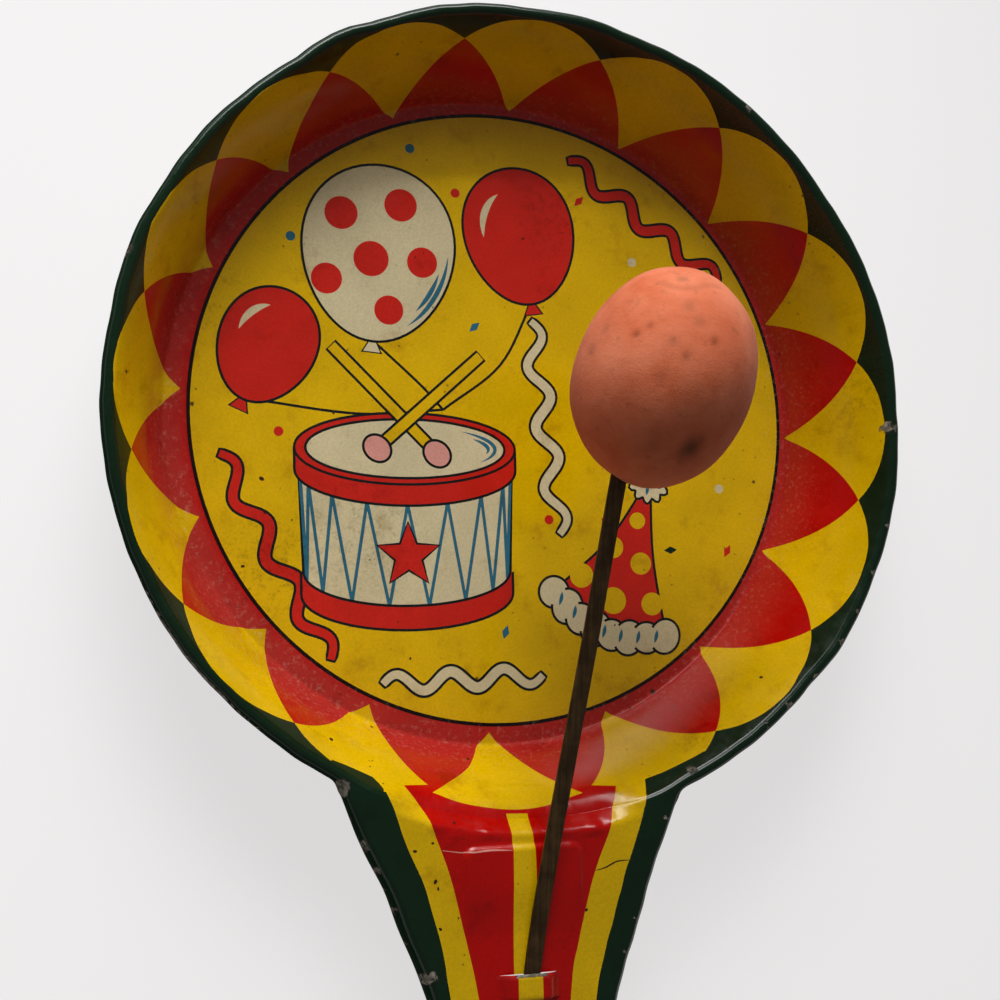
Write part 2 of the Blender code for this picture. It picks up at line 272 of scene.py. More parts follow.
def within(points: Array, loop: Array) -> Array:
    """Tells which points lie inside a closed loop.

    Args:
        points: Points to test, one row each.
        loop: The loop's points.

    Returns:
        A mask over the points.
    """
    low, high = loop.min(0), loop.max(0)
    mask = np.all((points >= low) & (points <= high), axis=1)
    x, y = points[mask, 0], points[mask, 1]
    found = np.zeros(len(x), bool)
    for (ax, ay), (bx, by) in zip(loop, np.roll(loop, 1, 0)):
        if ay == by:
            continue
        crosses = ((ay > y) != (by > y)) & (x < (bx - ax) * (y - ay) / (by - ay) + ax)
        found ^= crosses
    mask[mask] = found
    return mask


def normals_over(
    height: Callable[[Array, Array], Array], x: Array, y: Array, step: float, steepest: float = math.inf
) -> Array:
    """Unit normals of a surface over its plan, which point up.

    Args:
        height: Gives the surface's height.
        x: Places across the plan.
        y: Places along the plan.
        step: Half the distance that a slope is taken over.
        steepest: The most that the slope along y may be.

    Returns:
        The normals, one row each.
    """
    slope_x = (height(x + step, y) - height(x - step, y)) / (2 * step)
    slope_y = np.clip((height(x, y + step) - height(x, y - step)) / (2 * step), -steepest, steepest)
    normal = np.stack([-slope_x, -slope_y, np.ones_like(slope_x)], -1)
    return normal / np.linalg.norm(normal, axis=-1, keepdims=True)


def lattice(low: Pair, high: Pair, step: float) -> Array:
    """Evenly spaced plan points in a box, every second row shifted.

    Args:
        low: The box's lowest corner.
        high: Its highest corner.
        step: How far apart the points are.

    Returns:
        The points, one row each.
    """
    rows = np.arange(low[1], high[1], step * 0.87)
    spans = [np.arange(low[0] + (i % 2) * step / 2, high[0], step) for i in range(len(rows))]
    return np.vstack([np.stack([x, np.full_like(x, y)], 1) for x, y in zip(spans, rows)])


@dataclass(frozen=True)
class Patch:
    """An area of one ink in plan, in millimetres, which may keep off the border's circles."""

    loop: Array
    ink: Ink
    beside_border: bool = False


def outlined(loop: Array, ink: Ink, line: float = 0.38) -> list[Patch]:
    """A filled shape inside its drawn outline."""
    return [Patch(grown(loop, line), Ink.LINE), Patch(loop, ink)]


@dataclass(frozen=True)
class PressedForm:
    """Sizes of the pressed sheet, in millimetres, and the heights that they give."""

    sheet: float = 0.3
    pan_radius: float = 50.8
    rim_middle: Pair = (1.2, -0.4)
    floor_radius: float = 41.9
    depth: float = 13.3
    crown: float = 1.1
    floor_bend: float = 0.5
    ridge_bend: float = 0.3
    ledge: float = 0.45
    rim_roll: float = 0.7
    rim_drop: float = 1.2
    edge_roll: float = 1.15
    edge_drop: float = 2.4
    edge_run_out: float = 6.0
    handle_length: float = 84.6
    root_sink: float = 7.8
    root_half: float = 22.0
    neck_distance: float = 34.8
    neck_half: float = 8.3
    grip_half: float = 9.8
    root_set: float = 1.4
    junction_fillet: float = 1.6
    fillet_steps: int = 10
    rim_steps: int = 420
    bead_distance: float = 1.3
    bead_length: float = 11.0
    bead_width: float = 15.0
    bead_raise: float = 0.45
    bead_edge: float = 0.8
    bead_corner: float = 1.6
    bead_run_out: float = 7.0
    root_middle: float = -1.6
    root_span: Pair = (11.0, 17.0)
    shoulder_in: float = 2.0
    shoulder_out: float = 1.5
    shoulder_bend: float = 0.8
    root_fade: Pair = (-40.0, -36.0)
    flare: float = 0.36
    floor_fade: Pair = (38.0, 41.0)
    floor_wave: float = 0.05
    grip_fade: Pair = (-58.0, -52.0)
    grip_wave: float = 0.06
    crumples: Rows = (
        (-7.1, -50.6, 1.0, -0.12), (-9.6, -51.3, 0.7, 0.10), (-5.3, -51.4, 0.8, 0.10),
        (-10.2, -52.1, 0.6, 0.08), (-2.0, -50.9, 1.2, -0.07), (2.6, -51.4, 1.0, 0.07),
        (8.0, -51.5, 0.8, 0.12), (7.3, -52.5, 0.7, -0.08), (9.0, -50.9, 0.7, -0.10),
        (-12.0, -50.2, 1.1, 0.10), (5.2, -50.6, 0.9, -0.06),
    )

    @property
    def wall_run(self) -> float:
        """How far the wall goes out, from the crease round the floor to the ridge at its top."""
        return self.pan_radius - self.rim_roll - self.ledge - self.floor_radius

    @property
    def rim_foot(self) -> float:
        """Distance from the middle of the floor to the rim's circle at the handle."""
        return self.pan_radius - self.rim_middle[1]

    @property
    def level(self) -> float:
        """Height of the sheet's middle surface on the ledge and the handle."""
        return self.sheet / 2 + self.depth

    def reach(self, x: Array, y: Array) -> Array:
        """Distance out from the crease, less than zero on the floor.

        The crease and the ridge are circles with middles a little apart, and so is each line between them.

        Args:
            x: Places across the plan.
            y: Places along the plan.

        Returns:
            Distances in millimetres.
        """
        (a, b), run = self.rim_middle, self.wall_run
        apart = a * a + b * b - run * run
        spread = x * a + y * b + self.floor_radius * run
        beyond = x * x + y * y - self.floor_radius**2
        return run * beyond / (spread + np.sqrt(np.maximum(spread**2 - apart * beyond, 0.0)))

    def at_root(self, x: Array, y: Array) -> Array:
        """Share of the gentler shoulder that the wall has where the handle starts."""
        low, high = self.root_span
        beside = smoothstep(low, high, np.abs(x - self.root_middle))
        return (1 - beside) * (1 - smoothstep(*self.root_fade, y))

    def wall(self, reach: Array, root: Array) -> Array:
        """Height of the floor, wall and ledge.

        Args:
            reach: Distance out from the crease.
            root: Share of the shoulder that runs on into the handle.

        Returns:
            Heights of the sheet's middle surface.
        """
        run = self.wall_run
        up = np.clip(reach / run, 0.0, 1.0)
        first = self.shoulder_out / (self.shoulder_in + self.shoulder_out)
        shoulder = first * ramp(reach - run + self.shoulder_in, self.shoulder_bend)
        shoulder += (1 - first) * ramp(reach - run - self.shoulder_out, self.ridge_bend)
        top = ramp(reach - run, self.ridge_bend) * (1 - root) + shoulder * root
        bends = ramp(reach, self.floor_bend) - top
        return self.sheet / 2 + self.depth / run * bends + 4 * self.crown * up * (1 - up)

    def wall_ring(self, reach: float, steps: int = 340) -> Array:
        """Plan circle of the wall at a distance out from the crease."""
        share = reach / self.wall_run
        middle = (self.rim_middle[0] * share, self.rim_middle[1] * share)
        return ellipse(middle, self.floor_radius + reach, self.floor_radius + reach, steps=steps)

    def handle_middle(self, y: Array) -> Array:
        """X of the handle's centre line."""
        end = -(self.rim_foot + self.handle_length)
        return -self.root_set * (y - end) / (-self.rim_foot - end)

    @property
    def bead_middle(self) -> float:
        """Y of the stiffening bead's middle."""
        return -(self.rim_foot + self.bead_distance + self.bead_length / 2)

    def bead(self, x: Array, y: Array) -> Array:
        """Height that the stiffening bead adds.

        Args:
            x: Places across the plan.
            y: Places along the plan.

        Returns:
            Heights in millimetres.
        """
        middle_y = self.bead_middle
        half_x = self.bead_width / 2 - self.bead_corner
        half_y = self.bead_length / 2 - self.bead_corner
        over_x = np.maximum(np.abs(x - self.handle_middle(np.array(middle_y))) - half_x, 0)
        over_y = np.maximum(np.abs(y - middle_y) - half_y, 0)
        inset = self.bead_corner - np.hypot(over_x, over_y)
        foot = middle_y - self.bead_length / 2
        run_out = smoothstep(foot, foot + self.bead_run_out, y)
        return self.bead_raise * smoothstep(0.0, self.bead_edge, inset) * run_out

    def unevenness(self, x: Array, y: Array) -> Array:
        """Slight waves that handling has left in the thin sheet.

        Args:
            x: Places across the plan.
            y: Places along the plan.

        Returns:
            Heights in millimetres.
        """
        inner = 1 - smoothstep(*self.floor_fade, np.hypot(x, y))
        waves = (1 + np.sin(x / 7.3 + 0.8 * np.sin(y / 9.1)) * np.cos(y / 8.2 + 0.5)) * self.floor_wave
        grip = (1 - smoothstep(*self.grip_fade, y)) * self.grip_wave * np.sin(x / 3.4 + 0.9) * np.sin(y / 5.3)
        uneven = waves * inner + grip
        for at_x, at_y, size, lift in self.crumples:
            uneven = uneven + lift * np.exp(-(((x - at_x) / size) ** 2) - ((y - at_y) / (0.6 * size)) ** 2)
        return uneven

    def height(self, x: Array, y: Array) -> Array:
        """Height of the sheet's middle surface inside the turned-down edge."""
        return self.wall(self.reach(x, y), self.at_root(x, y)) + self.bead(x, y) + self.unevenness(x, y)

    def normal(self, x: Array, y: Array) -> Array:
        """Unit normals of that surface, which point up."""
        return normals_over(self.height, x, y, step=0.02)

    def handle_side(self) -> list[Pair]:
        """Half widths of the handle and their y, from inside the rim to the middle of its round end.

        Returns:
            Pairs of half width and y, from the root down.
        """
        root_y = -(self.rim_foot - self.root_sink)
        neck_y = -(self.rim_foot + self.neck_distance)
        grip_y = -(self.rim_foot + self.handle_length - self.grip_half)
        taper, grip = root_y - neck_y, neck_y - grip_y
        flare = (self.root_half - self.neck_half) * self.flare
        sides = interpolate_bezier(
            (self.root_half, root_y),
            (self.root_half - flare, root_y - taper / 3),
            (self.neck_half + flare * 0.1, neck_y + taper / 4),
            (self.neck_half, neck_y),
            60,
        )
        sides += interpolate_bezier(
            (self.neck_half, neck_y),
            (self.neck_half, neck_y - grip / 3),
            (self.grip_half, grip_y + grip / 3),
            (self.grip_half, grip_y),
            50,
        )[1:]
        for step in range(1, 25):
            turn = step * math.pi / 48
            sides.append(Vector((self.grip_half * math.cos(turn), grip_y - self.grip_half * math.sin(turn))))
        return [(p[0], p[1]) for p in sides]

    def beyond_rim(self, points: Array) -> Array:
        """How far points lie outside the rim's circle."""
        return np.hypot(*(points[:, :2] - self.rim_middle).T) - self.pan_radius

    def turned(self, points: Array) -> tuple[Array, Array]:
        """Width and drop of the turned-down edge at points of the outline."""
        on_handle = np.clip(self.beyond_rim(points) / self.edge_run_out, 0.0, 1.0)
        roll = self.rim_roll + (self.edge_roll - self.rim_roll) * on_handle
        return roll, self.rim_drop + (self.edge_drop - self.rim_drop) * on_handle

    def handle_run(self, side: Side) -> Array:
        """Plan points of one side of the handle, from the rim's circle to the tip.

        Args:
            side: Which side.

        Returns:
            The points, one row each.
        """
        rows = np.array(self.handle_side())
        points = np.stack([self.handle_middle(rows[:, 1]) + side.value * rows[:, 0], rows[:, 1]], 1)
        first = int(np.argmax(self.beyond_rim(points) > 0))
        inner, outer = points[first - 1], points[first]
        low, high = 0.0, 1.0
        for _ in range(40):
            share = (low + high) / 2
            if self.beyond_rim((inner + (outer - inner) * share)[None])[0] < 0:
                low = share
            else:
                high = share
        return np.vstack([inner + (outer - inner) * low, points[first:]])

    def fillet(self, before: Array, corner: Array, after: Array) -> Array:
        """Points of the round corner between the rim and the handle.

        Args:
            before: A point on the line that comes to the corner.
            corner: Where the two lines meet.
            after: A point on the line that leaves it.

        Returns:
            The points, one row each.
        """
        start = corner + (before - corner) / np.linalg.norm(before - corner) * self.junction_fillet
        end = corner + (after - corner) / np.linalg.norm(after - corner) * self.junction_fillet
        t = np.linspace(0, 1, self.fillet_steps)[:, None]
        return start * (1 - t) ** 2 + corner * (2 * t * (1 - t)) + end * t**2

    def outline(self) -> Array:
        """Plan outline of the sheet, anticlockwise from the handle's right root.

        Returns:
            The points, one row each.
        """
        right, left = self.handle_run(Side.RIGHT), self.handle_run(Side.LEFT)
        turn = self.junction_fillet / self.pan_radius
        right_arm, left_arm = right[0] - self.rim_middle, left[0] - self.rim_middle
        start = math.atan2(right_arm[1], right_arm[0]) + turn
        end = math.atan2(left_arm[1], left_arm[0]) + 2 * math.pi - turn
        angles = np.linspace(start, end, self.rim_steps)
        rim = self.pan_radius * around(angles) + self.rim_middle
        left_root = self.fillet(rim[-1], left[0], left[1])
        right_root = self.fillet(right[1], right[0], rim[0])
        clear = self.junction_fillet * 1.15
        left_side = left[np.linalg.norm(left - left[0], axis=1) > clear]
        right_side = right[np.linalg.norm(right - right[0], axis=1) > clear]
        return np.vstack([rim[:-1], left_root, left_side, right_side[-2::-1], right_root[:-1]])


@dataclass(frozen=True)
class PetalBorder:
    """The traditional border: overlapping circles, red where two overlap, and the black ring inside them."""

    form: PressedForm
    centre: Pair = (1.15, 0.5)
    ring_radius: float = 39.74
    ring_width: float = 0.46
    petals: int = 16
    circle_reach: float = 33.22
    circle_radius: float = 16.19
    first_turn: float = 86.62
    drift: Pair = (0.31, 0.94)
    drift_run: float = 6.0
    arc_turn: float = 112.0
    arc_steps: int = 110
    arc_clear: float = 0.15
    ring_steps: int = 420
    furthest: float = 60.0
    halvings: int = 40

    def flat_radius(self, radius: Array, angle: Array) -> Array:
        """Radius on the flat printed sheet of a point of the pressed one.

        The press drew the wall out of the sheet by stretching it, a little unevenly.

        Args:
            radius: Plan radius from the pan's middle.
            angle: Plan angle in radians.

        Returns:
            The radius before pressing.
        """
        up = np.clip((radius - self.form.floor_radius) / self.drift_run, 0, 1)
        return radius + up * (2 - up) * (self.drift[0] * np.cos(angle) + self.drift[1] * np.sin(angle))

    def to_flat(self, points: Array) -> Array:
        """Moves plan points to the flat print, measured from the print's own centre."""
        radius, angle = np.hypot(points[:, 0], points[:, 1]), np.arctan2(points[:, 1], points[:, 0])
        flat = self.flat_radius(radius, angle)
        return flat[:, None] * around(angle) - self.centre

    def to_plan(self, points: Array) -> Array:
        """Moves points of the flat print to the pressed sheet's plan.

        Args:
            points: Flat points, measured from the print's own centre, one row each.

        Returns:
            The points, one row each.
        """
        moved = points + self.centre
        target, angle = np.hypot(moved[:, 0], moved[:, 1]), np.arctan2(moved[:, 1], moved[:, 0])
        low, high = np.zeros_like(target), np.full_like(target, self.furthest)
        for _ in range(self.halvings):
            middle = (low + high) / 2
            short = self.flat_radius(middle, angle) < target
            low, high = np.where(short, middle, low), np.where(short, high, middle)
        return low[:, None] * around(angle)

    def circle_middles(self) -> Array:
        """Centres of the border's circles on the flat print."""
        turns = np.radians(self.first_turn - 360 / self.petals * np.arange(self.petals))
        return self.circle_reach * around(turns)

    def lines(self) -> list[Array]:
        """Open lines in plan that the border's inks meet along.

        Returns:
            The lines, each with one row for a point.
        """
        made = []
        for middle in self.circle_middles():
            outward = math.atan2(middle[1], middle[0])
            turns = outward + np.radians(np.linspace(-self.arc_turn, self.arc_turn, self.arc_steps))
            arc = middle + self.circle_radius * around(turns)
            beyond = np.hypot(*arc.T) > self.ring_radius + self.ring_width / 2 + self.arc_clear
            made.append(self.to_plan(arc[beyond]))
        return made

    def rings(self) -> list[Array]:
        """Both edges of the black ring, in plan."""
        sides = (-self.ring_width / 2, self.ring_width / 2)
        radii = [self.ring_radius + side for side in sides]
        return [ellipse(self.centre, radius, radius, steps=self.ring_steps) for radius in radii]

    def hits(self, points: Array) -> Array:
        """How many of the circles lie over each plan point.

        Args:
            points: Plan points, one row each.

        Returns:
            A whole number for each point.
        """
        flat = self.to_flat(points)
        found = np.zeros(len(points), int)
        for middle in self.circle_middles():
            found += np.hypot(flat[:, 0] - middle[0], flat[:, 1] - middle[1]) < self.circle_radius
        return found

    def inks(self, points: Array) -> Array:
        """Gives the border's ink at plan points.

        Args:
            points: Plan points, one row each.

        Returns:
            An array of Ink members.
        """
        flat = self.to_flat(points)
        reach = np.hypot(flat[:, 0], flat[:, 1])
        hits = self.hits(points)
        found = np.full(len(points), Ink.GREEN, object)
        found[hits == 1] = Ink.YELLOW
        found[hits >= 2] = Ink.RED
        found[reach < self.ring_radius + self.ring_width / 2] = Ink.RING
        found[reach < self.ring_radius - self.ring_width / 2] = Ink.YELLOW
        return found


@dataclass(frozen=True)
class HandlePrint:
    """The stripes that run down the handle and the leaf-shaped lobe over them, in plan millimetres."""

    end_y: float = -131.5
    yellow_left: Rows = (
        (-20.5, -41.5), (-18.87, -44.33), (-17.8, -45.7), (-17.0, -47.3), (-16.4, -48.9), (-15.7, -51.2),
        (-14.2, -55.9), (-12.2, -62.3), (-11.4, -65.6), (-10.8, -69.8), (-7.0, -86.0), (-6.4, -105.0),
        (-6.6, -124.5),
    )
    yellow_right: Rows = (
        (15.4, -44.0), (15.3, -46.1), (14.4, -48.8), (13.4, -51.8), (12.3, -54.9), (11.0, -58.7),
        (9.8, -62.1), (8.7, -65.6), (7.3, -71.3), (5.0, -86.0), (5.6, -105.0), (6.4, -124.5),
    )
    red_left: Rows = (
        (-15.0, -45.5), (-13.8, -47.2), (-12.6, -49.3), (-11.8, -51.5), (-10.2, -56.6), (-9.1, -60.8),
        (-8.0, -65.4), (-7.1, -70.1), (-4.6, -86.0), (-3.9, -105.0), (-3.9, -124.0),
    )
    red_right: Rows = (
        (11.65, -46.8), (10.6, -49.2), (9.4, -52.3), (7.7, -56.3), (6.4, -60.3), (5.2, -64.8),
        (4.3, -69.3), (2.9, -86.0), (3.2, -105.0), (3.7, -124.0),
    )
    stripe_left: Rows = (
        (-2.75, -49.3), (-2.6, -51.7), (-2.6, -55.0), (-2.7, -61.2), (-2.7, -70.5), (-1.9, -86.0),
        (-1.3, -105.0), (-1.2, -123.0),
    )
    stripe_right: Rows = (
        (-0.1, -49.4), (0.0, -51.6), (0.15, -54.2), (0.2, -61.0), (0.4, -70.7), (0.3, -86.0),
        (0.6, -105.0), (1.0, -123.0),
    )
    lobe: tuple[Rows, ...] = (
        ((-1.2, -40.9), (-4.1, -43.3), (-6.4, -44.6), (-9.3, -45.7), (-11.5, -46.5)),
        ((-11.5, -46.5), (-7.8, -47.9), (-2.4, -48.85), (2.2, -48.7), (7.35, -47.45)),
        ((7.35, -47.45), (4.5, -46.1), (2.3, -44.9), (0.5, -43.1), (-1.2, -40.9)),
    )
    left_trim: Rows = (
        (-25.2, -42.9), (-24.0, -42.5), (-22.4, -43.0), (-20.6, -43.6), (-18.87, -44.33), (-18.2, -45.1),
        (-17.8, -45.7), (-18.2, -46.9), (-21.5, -47.6), (-24.6, -45.5),
    )
    right_trim: Rows = (
        (15.3, -46.1), (17.6, -45.5), (20.05, -44.75), (21.9, -44.0), (23.2, -43.4), (24.2, -43.7),
        (21.7, -45.8), (18.4, -47.2), (14.9, -48.0), (14.7, -47.8),
    )
    dark_scratch: Rows = ((7.7, -56.3), (9.1, -56.0), (10.6, -55.4), (12.6, -55.3))
    pale_line: Rows = ((-11.2, -52.9), (-8.3, -53.3), (-5.4, -53.2), (-2.7, -53.3))
    rust_pits: Rows = (
        (-14.5, -52.8, 0.26), (-12.5, -56.4, 0.32), (-12.2, -57.2, 0.22), (-11.9, -61.8, 0.26),
        (-12.3, -52.0, 0.20), (6.4, -60.8, 0.24), (-9.4, -60.7, 0.14), (-29.7, -8.1, 0.36),
        (-32.1, -18.9, 0.26), (-11.3, -30.6, 0.20), (-20.6, 0.3, 0.22), (-23.3, -40.1, 0.28),
        (32.6, -34.3, 0.22), (16.2, -26.9, 0.16), (21.2, -35.7, 0.42), (17.9, -37.7, 0.20),
        (5.0, 24.0, 0.20), (-26.0, -13.2, 0.15), (30.8, 13.0, 0.18),
    )

    def band(self, left: Rows, right: Rows, end: float) -> Array:
        """Closed loop of a stripe between its two edges, with a round end.

        Args:
            left: Points of its left edge, downwards.
            right: Points of its right edge, downwards.
            end: Y of its lowest point.

        Returns:
            The loop.
        """
        left_line, right_line = smooth_curve(left), smooth_curve(right)
        middle = (right_line[-1] + left_line[-1]) / 2
        size = np.array([(right_line[-1, 0] - left_line[-1, 0]) / 2, middle[1] - end])
        cap = middle + size * around(np.linspace(math.pi, 2 * math.pi, 14)[1:-1])
        return np.vstack([left_line, cap, right_line[::-1]])

    def patches(self) -> list[Patch]:
        """All the handle's areas of ink, in the order that they are laid down.

        Returns:
            The patches.
        """
        yellow = self.band(self.yellow_left, self.yellow_right, self.end_y)
        return [
            Patch(yellow, Ink.YELLOW, beside_border=True),
            Patch(np.array(self.left_trim), Ink.GREEN),
            Patch(np.array(self.right_trim), Ink.GREEN),
            Patch(self.band(self.red_left, self.red_right, self.end_y + 2.4), Ink.RED),
            Patch(self.band(self.stripe_left, self.stripe_right, self.end_y + 5.0), Ink.YELLOW),
            Patch(np.vstack([smooth_curve(side)[:-1] for side in self.lobe]), Ink.YELLOW),
        ]

    def flaws(self) -> list[Patch]:
        """A dark scratch and rust pits that have gone through the print, and a thin pale line.

        Returns:
            The patches, which are laid over all the others.
        """
        made = [
            Patch(stroke(smooth_curve(self.dark_scratch), 0.2, 0.7), Ink.SCRATCH),
            # A thin pale line just below the bead's top edge.
            Patch(stroke(smooth_curve(self.pale_line), 0.14, 0.6), Ink.PINK),
        ]
        for i, (x, y, radius) in enumerate(self.rust_pits):
            made.append(Patch(ellipse((x, y), radius, radius * 0.7, turn=i * 47.0, steps=9), Ink.SCRATCH))
        return made


@dataclass(frozen=True)
class Balloon:
    """A balloon of the picture: its middle, half its width and height, its lean in degrees and its ink."""

    middle: Pair
    wide: float
    high: float
    lean: float
    ink: Ink

    def line(self, turns: Array, wide: float = 1.0, high: float = 1.0) -> Array:
        """Its outline at turns in degrees, anticlockwise from its right, drawn in to shares of its size."""
        at = np.radians(turns)
        x = self.wide * wide * np.cos(at) * (1 + 0.10 * np.sin(at))
        return set_down(x, self.high * high * np.sin(at), self.middle, self.lean)


@dataclass
class PartyPrint:
    """The picture on the floor of the pan: a drum, balloons, a paper hat, streamers and confetti."""

    border: PetalBorder
    line: float = 0.34
    confetti: int = 64
    plain_balloons: tuple[Balloon, ...] = (
        Balloon((3.4, 23.8), 7.4, 9.0, 9.0, Ink.SCARLET),
        Balloon((-30.0, 8.2), 6.0, 7.4, -24.0, Ink.SCARLET),
    )
    dotted_balloon: Balloon = Balloon((-15.6, 20.6), 9.8, 11.4, -5.0, Ink.CREAM)
    balloon_dots: Rows = (
        (-20.4, 25.6, 2.15), (-12.6, 27.0, 2.15), (-16.6, 19.8, 2.3), (-9.9, 19.6, 2.0),
        (-22.4, 17.0, 2.0), (-14.4, 13.2, 1.9),
    )
    strings_tie: Pair = (-7.5, 0.5)
    drum_middle: Pair = (-12.4, -4.6)
    drum_wide: float = 13.8
    drum_flat: float = 4.4
    drum_high: float = 18.4
    hoop: float = 2.7
    cords: int = 8
    star: Pair = (4.1, 1.7)
    hat_tip: Pair = (20.5, -8.5)
    hat_left: Pair = (6.8, -23.0)
    hat_right: Pair = (22.0, -29.0)
    hat_dots: Rows = (
        (0.28, 0.5, 1.1), (0.52, 0.24, 1.45), (0.55, 0.74, 1.45), (0.8, 0.10, 1.6), (0.84, 0.50, 1.75),
        (0.8, 0.90, 1.5),
    )
    streamers: tuple[tuple[Pair, Pair, float, float, Ink], ...] = (
        ((10.5, 34.4), (31.5, 19.0), 3.5, 1.25, Ink.SCARLET),
        ((-36.0, -5.5), (-22.5, -31.0), 3.5, 1.25, Ink.SCARLET),
        ((4.6, 12.5), (7.8, -15.5), 3.5, 1.3, Ink.CREAM),
        ((-16.0, -34.2), (5.0, -33.6), 3.0, 1.1, Ink.CREAM),
    )
    made: list[Patch] = field(default_factory=list)

    def put(self, loop: Array, ink: Ink, drawn: bool = True) -> None:
        """Adds a shape, with its drawn outline or bare, over what is there."""
        self.made += outlined(loop, ink, self.line) if drawn else [Patch(loop, ink)]

    def mark(self, line: Array, width: float, ink: Ink = Ink.TEAL, taper: float = 0.97) -> None:
        """Adds a bare line, such as a glint or the shade on a round thing."""
        self.put(stroke(line, width, taper), ink, drawn=False)

    def dot(self, place: Sequence[float], size: float, ink: Ink, steps: int) -> None:
        """Adds a bare round dot."""
        self.put(ellipse(place, size, size, steps=steps), ink, drawn=False)

    def add_balloon(self, balloon: Balloon) -> None:
        """Adds a balloon, fuller at its top, with its knot and string.

        Args:
            balloon: Its place, sizes and inks.
        """
        down = around(math.radians(balloon.lean - 90))
        across = np.array([down[1], -down[0]])
        foot = balloon.middle + down * balloon.high
        sag = (foot + self.strings_tie) / 2 + (1.6, -1.2)
        self.mark(smooth_curve([foot, sag, self.strings_tie]), self.line, Ink.LINE, 0.0)
        end = foot + down * 1.5
        self.put(np.array([foot - down * 0.6, end + across * 1.1, end - across * 1.1]), balloon.ink)
        self.put(balloon.line(np.linspace(0, 360, 64, endpoint=False)), balloon.ink)

    def add_balloons(self) -> None:
        """Adds the three balloons and what is painted on them."""
        for balloon in self.plain_balloons:
            self.add_balloon(balloon)
            self.mark(balloon.line(np.linspace(112, 176, 14), 0.66, 0.70), 0.95, Ink.CREAM, 0.95)
        self.add_balloon(self.dotted_balloon)
        for x, y, size in self.balloon_dots:
            self.dot((x, y), size, Ink.SCARLET, 36)
        for share, start, end in ((0.93, -58, 4), (0.85, -46, -10)):
            self.mark(self.dotted_balloon.line(np.linspace(start, end, 16), share, share), 0.62)

    def drum_arc(self, lift: float, shrink: float, turns: Array) -> Array:
        """Points of the drum's front at a height below its head, at turns in radians."""
        x, y = self.drum_middle
        return np.array([x, y - lift]) + np.array([self.drum_wide - shrink, self.drum_flat]) * around(turns)

    def add_drum(self) -> None:
        """Adds the drum with its hoops and cords, its sticks and its star."""
        front = np.linspace(math.pi, 2 * math.pi, 40)
        foot = self.drum_arc(self.drum_high, 0.7, front)
        head = self.drum_arc(0.0, 0.0, front)
        self.put(np.vstack([foot, head[::-1]]), Ink.CREAM)
        for i in range(self.cords):
            ends = math.pi + math.pi * np.array([i, i + 0.5, i + 1]) / self.cords
            tops = self.drum_arc(self.hoop, 0.1, ends)
            feet = self.drum_arc(self.drum_high - self.hoop, 0.6, ends)
            for a, b in ((tops[0], feet[1]), (feet[1], tops[2])):
                self.mark(np.array([a, (a + b) / 2, b]), 0.42, taper=0.0)
        for lift, shrink in ((0.0, 0.0), (self.drum_high - self.hoop, 0.7)):
            upper = self.drum_arc(lift, shrink - 0.4, front)
            lower = self.drum_arc(lift + self.hoop, shrink - 0.4, front)
            self.put(np.vstack([lower, upper[::-1]]), Ink.SCARLET)
        self.put(ellipse(self.drum_middle, self.drum_wide + 0.4, self.drum_flat, steps=72), Ink.SCARLET)
        self.put(ellipse(self.drum_middle, self.drum_wide - 1.0, self.drum_flat - 0.8, steps=72), Ink.CREAM)
        for shrink, start, end in ((2.1, -34, 52), (3.0, -14, 36)):
            size = np.array([self.drum_wide - shrink, self.drum_flat - shrink * 0.7])
            self.mark(self.drum_middle + size * around(np.radians(np.linspace(start, end, 16))), 0.5)
        for grip, tip in (((-21.9, 8.4), (-8.4, -5.2)), ((-2.4, 7.6), (-16.2, -4.6))):
            self.put(stroke(np.linspace(grip, tip, 8), 1.25), Ink.YELLOW)
            self.put(ellipse(tip, 1.75, 1.45, turn=-40), Ink.PINK)
        middle = self.drum_arc(self.drum_high / 2, 0.0, 1.5 * math.pi)
        spikes = np.arange(10)
        reach = np.where(spikes % 2 == 0, *self.star)[:, None]
        self.put(middle + reach * around(math.pi / 2 + spikes * math.pi / 5), Ink.SCARLET)

    def add_hat(self) -> None:
        """Adds the pointed paper hat with its dots, ruffle and pompom."""
        tip, left, right = (np.array(p) for p in (self.hat_tip, self.hat_left, self.hat_right))
        corners = []
        for a, b, bow in ((tip, left, (0.9, -0.7)), (left, right, (-1.0, -2.4)), (right, tip, (-0.7, 0.1))):
            corners.append(smooth_curve([a, (a + b) / 2 + bow, b])[:-1])
        self.put(np.vstack(corners), Ink.SCARLET)
        for share, along, size in self.hat_dots:
            base = left + (right - left) * along + np.array([-0.5, -1.2]) * math.sin(math.pi * along)
            self.dot(tip + (base - tip) * share, size, Ink.YELLOW, 32)
        places = np.linspace(0, 1, 8)[:, None]
        brim = left + (right - left) * places + np.array([-0.45, -1.1]) * 2.1 * np.sin(math.pi * places)
        for i, place in enumerate(brim):
            self.put(ellipse(place, 1.9, 1.9 + 0.25 * (i % 2), turn=-20, steps=28), Ink.CREAM)
        for place in brim:
            self.put(ellipse(place, 1.55, 1.6, turn=-20, steps=28), Ink.CREAM, drawn=False)
        for fold in (brim[:-1] + brim[1:]) / 2:
            self.mark(smooth_curve(fold + np.array([(0.25, 0.95), (0.1, 0.1), (-0.2, -0.8)])), 0.5)
        petals = np.linspace(0, 2 * math.pi, 66, endpoint=False)
        reach = 2.5 + 0.35 * np.cos(11 * petals)
        self.put(tip + reach[:, None] * around(petals), Ink.CREAM)
        for way in around(np.radians((40, 112, 184, 256, 328))):
            self.mark(tip + np.linspace(0.5, 1.9, 6)[:, None] * way, 0.46)

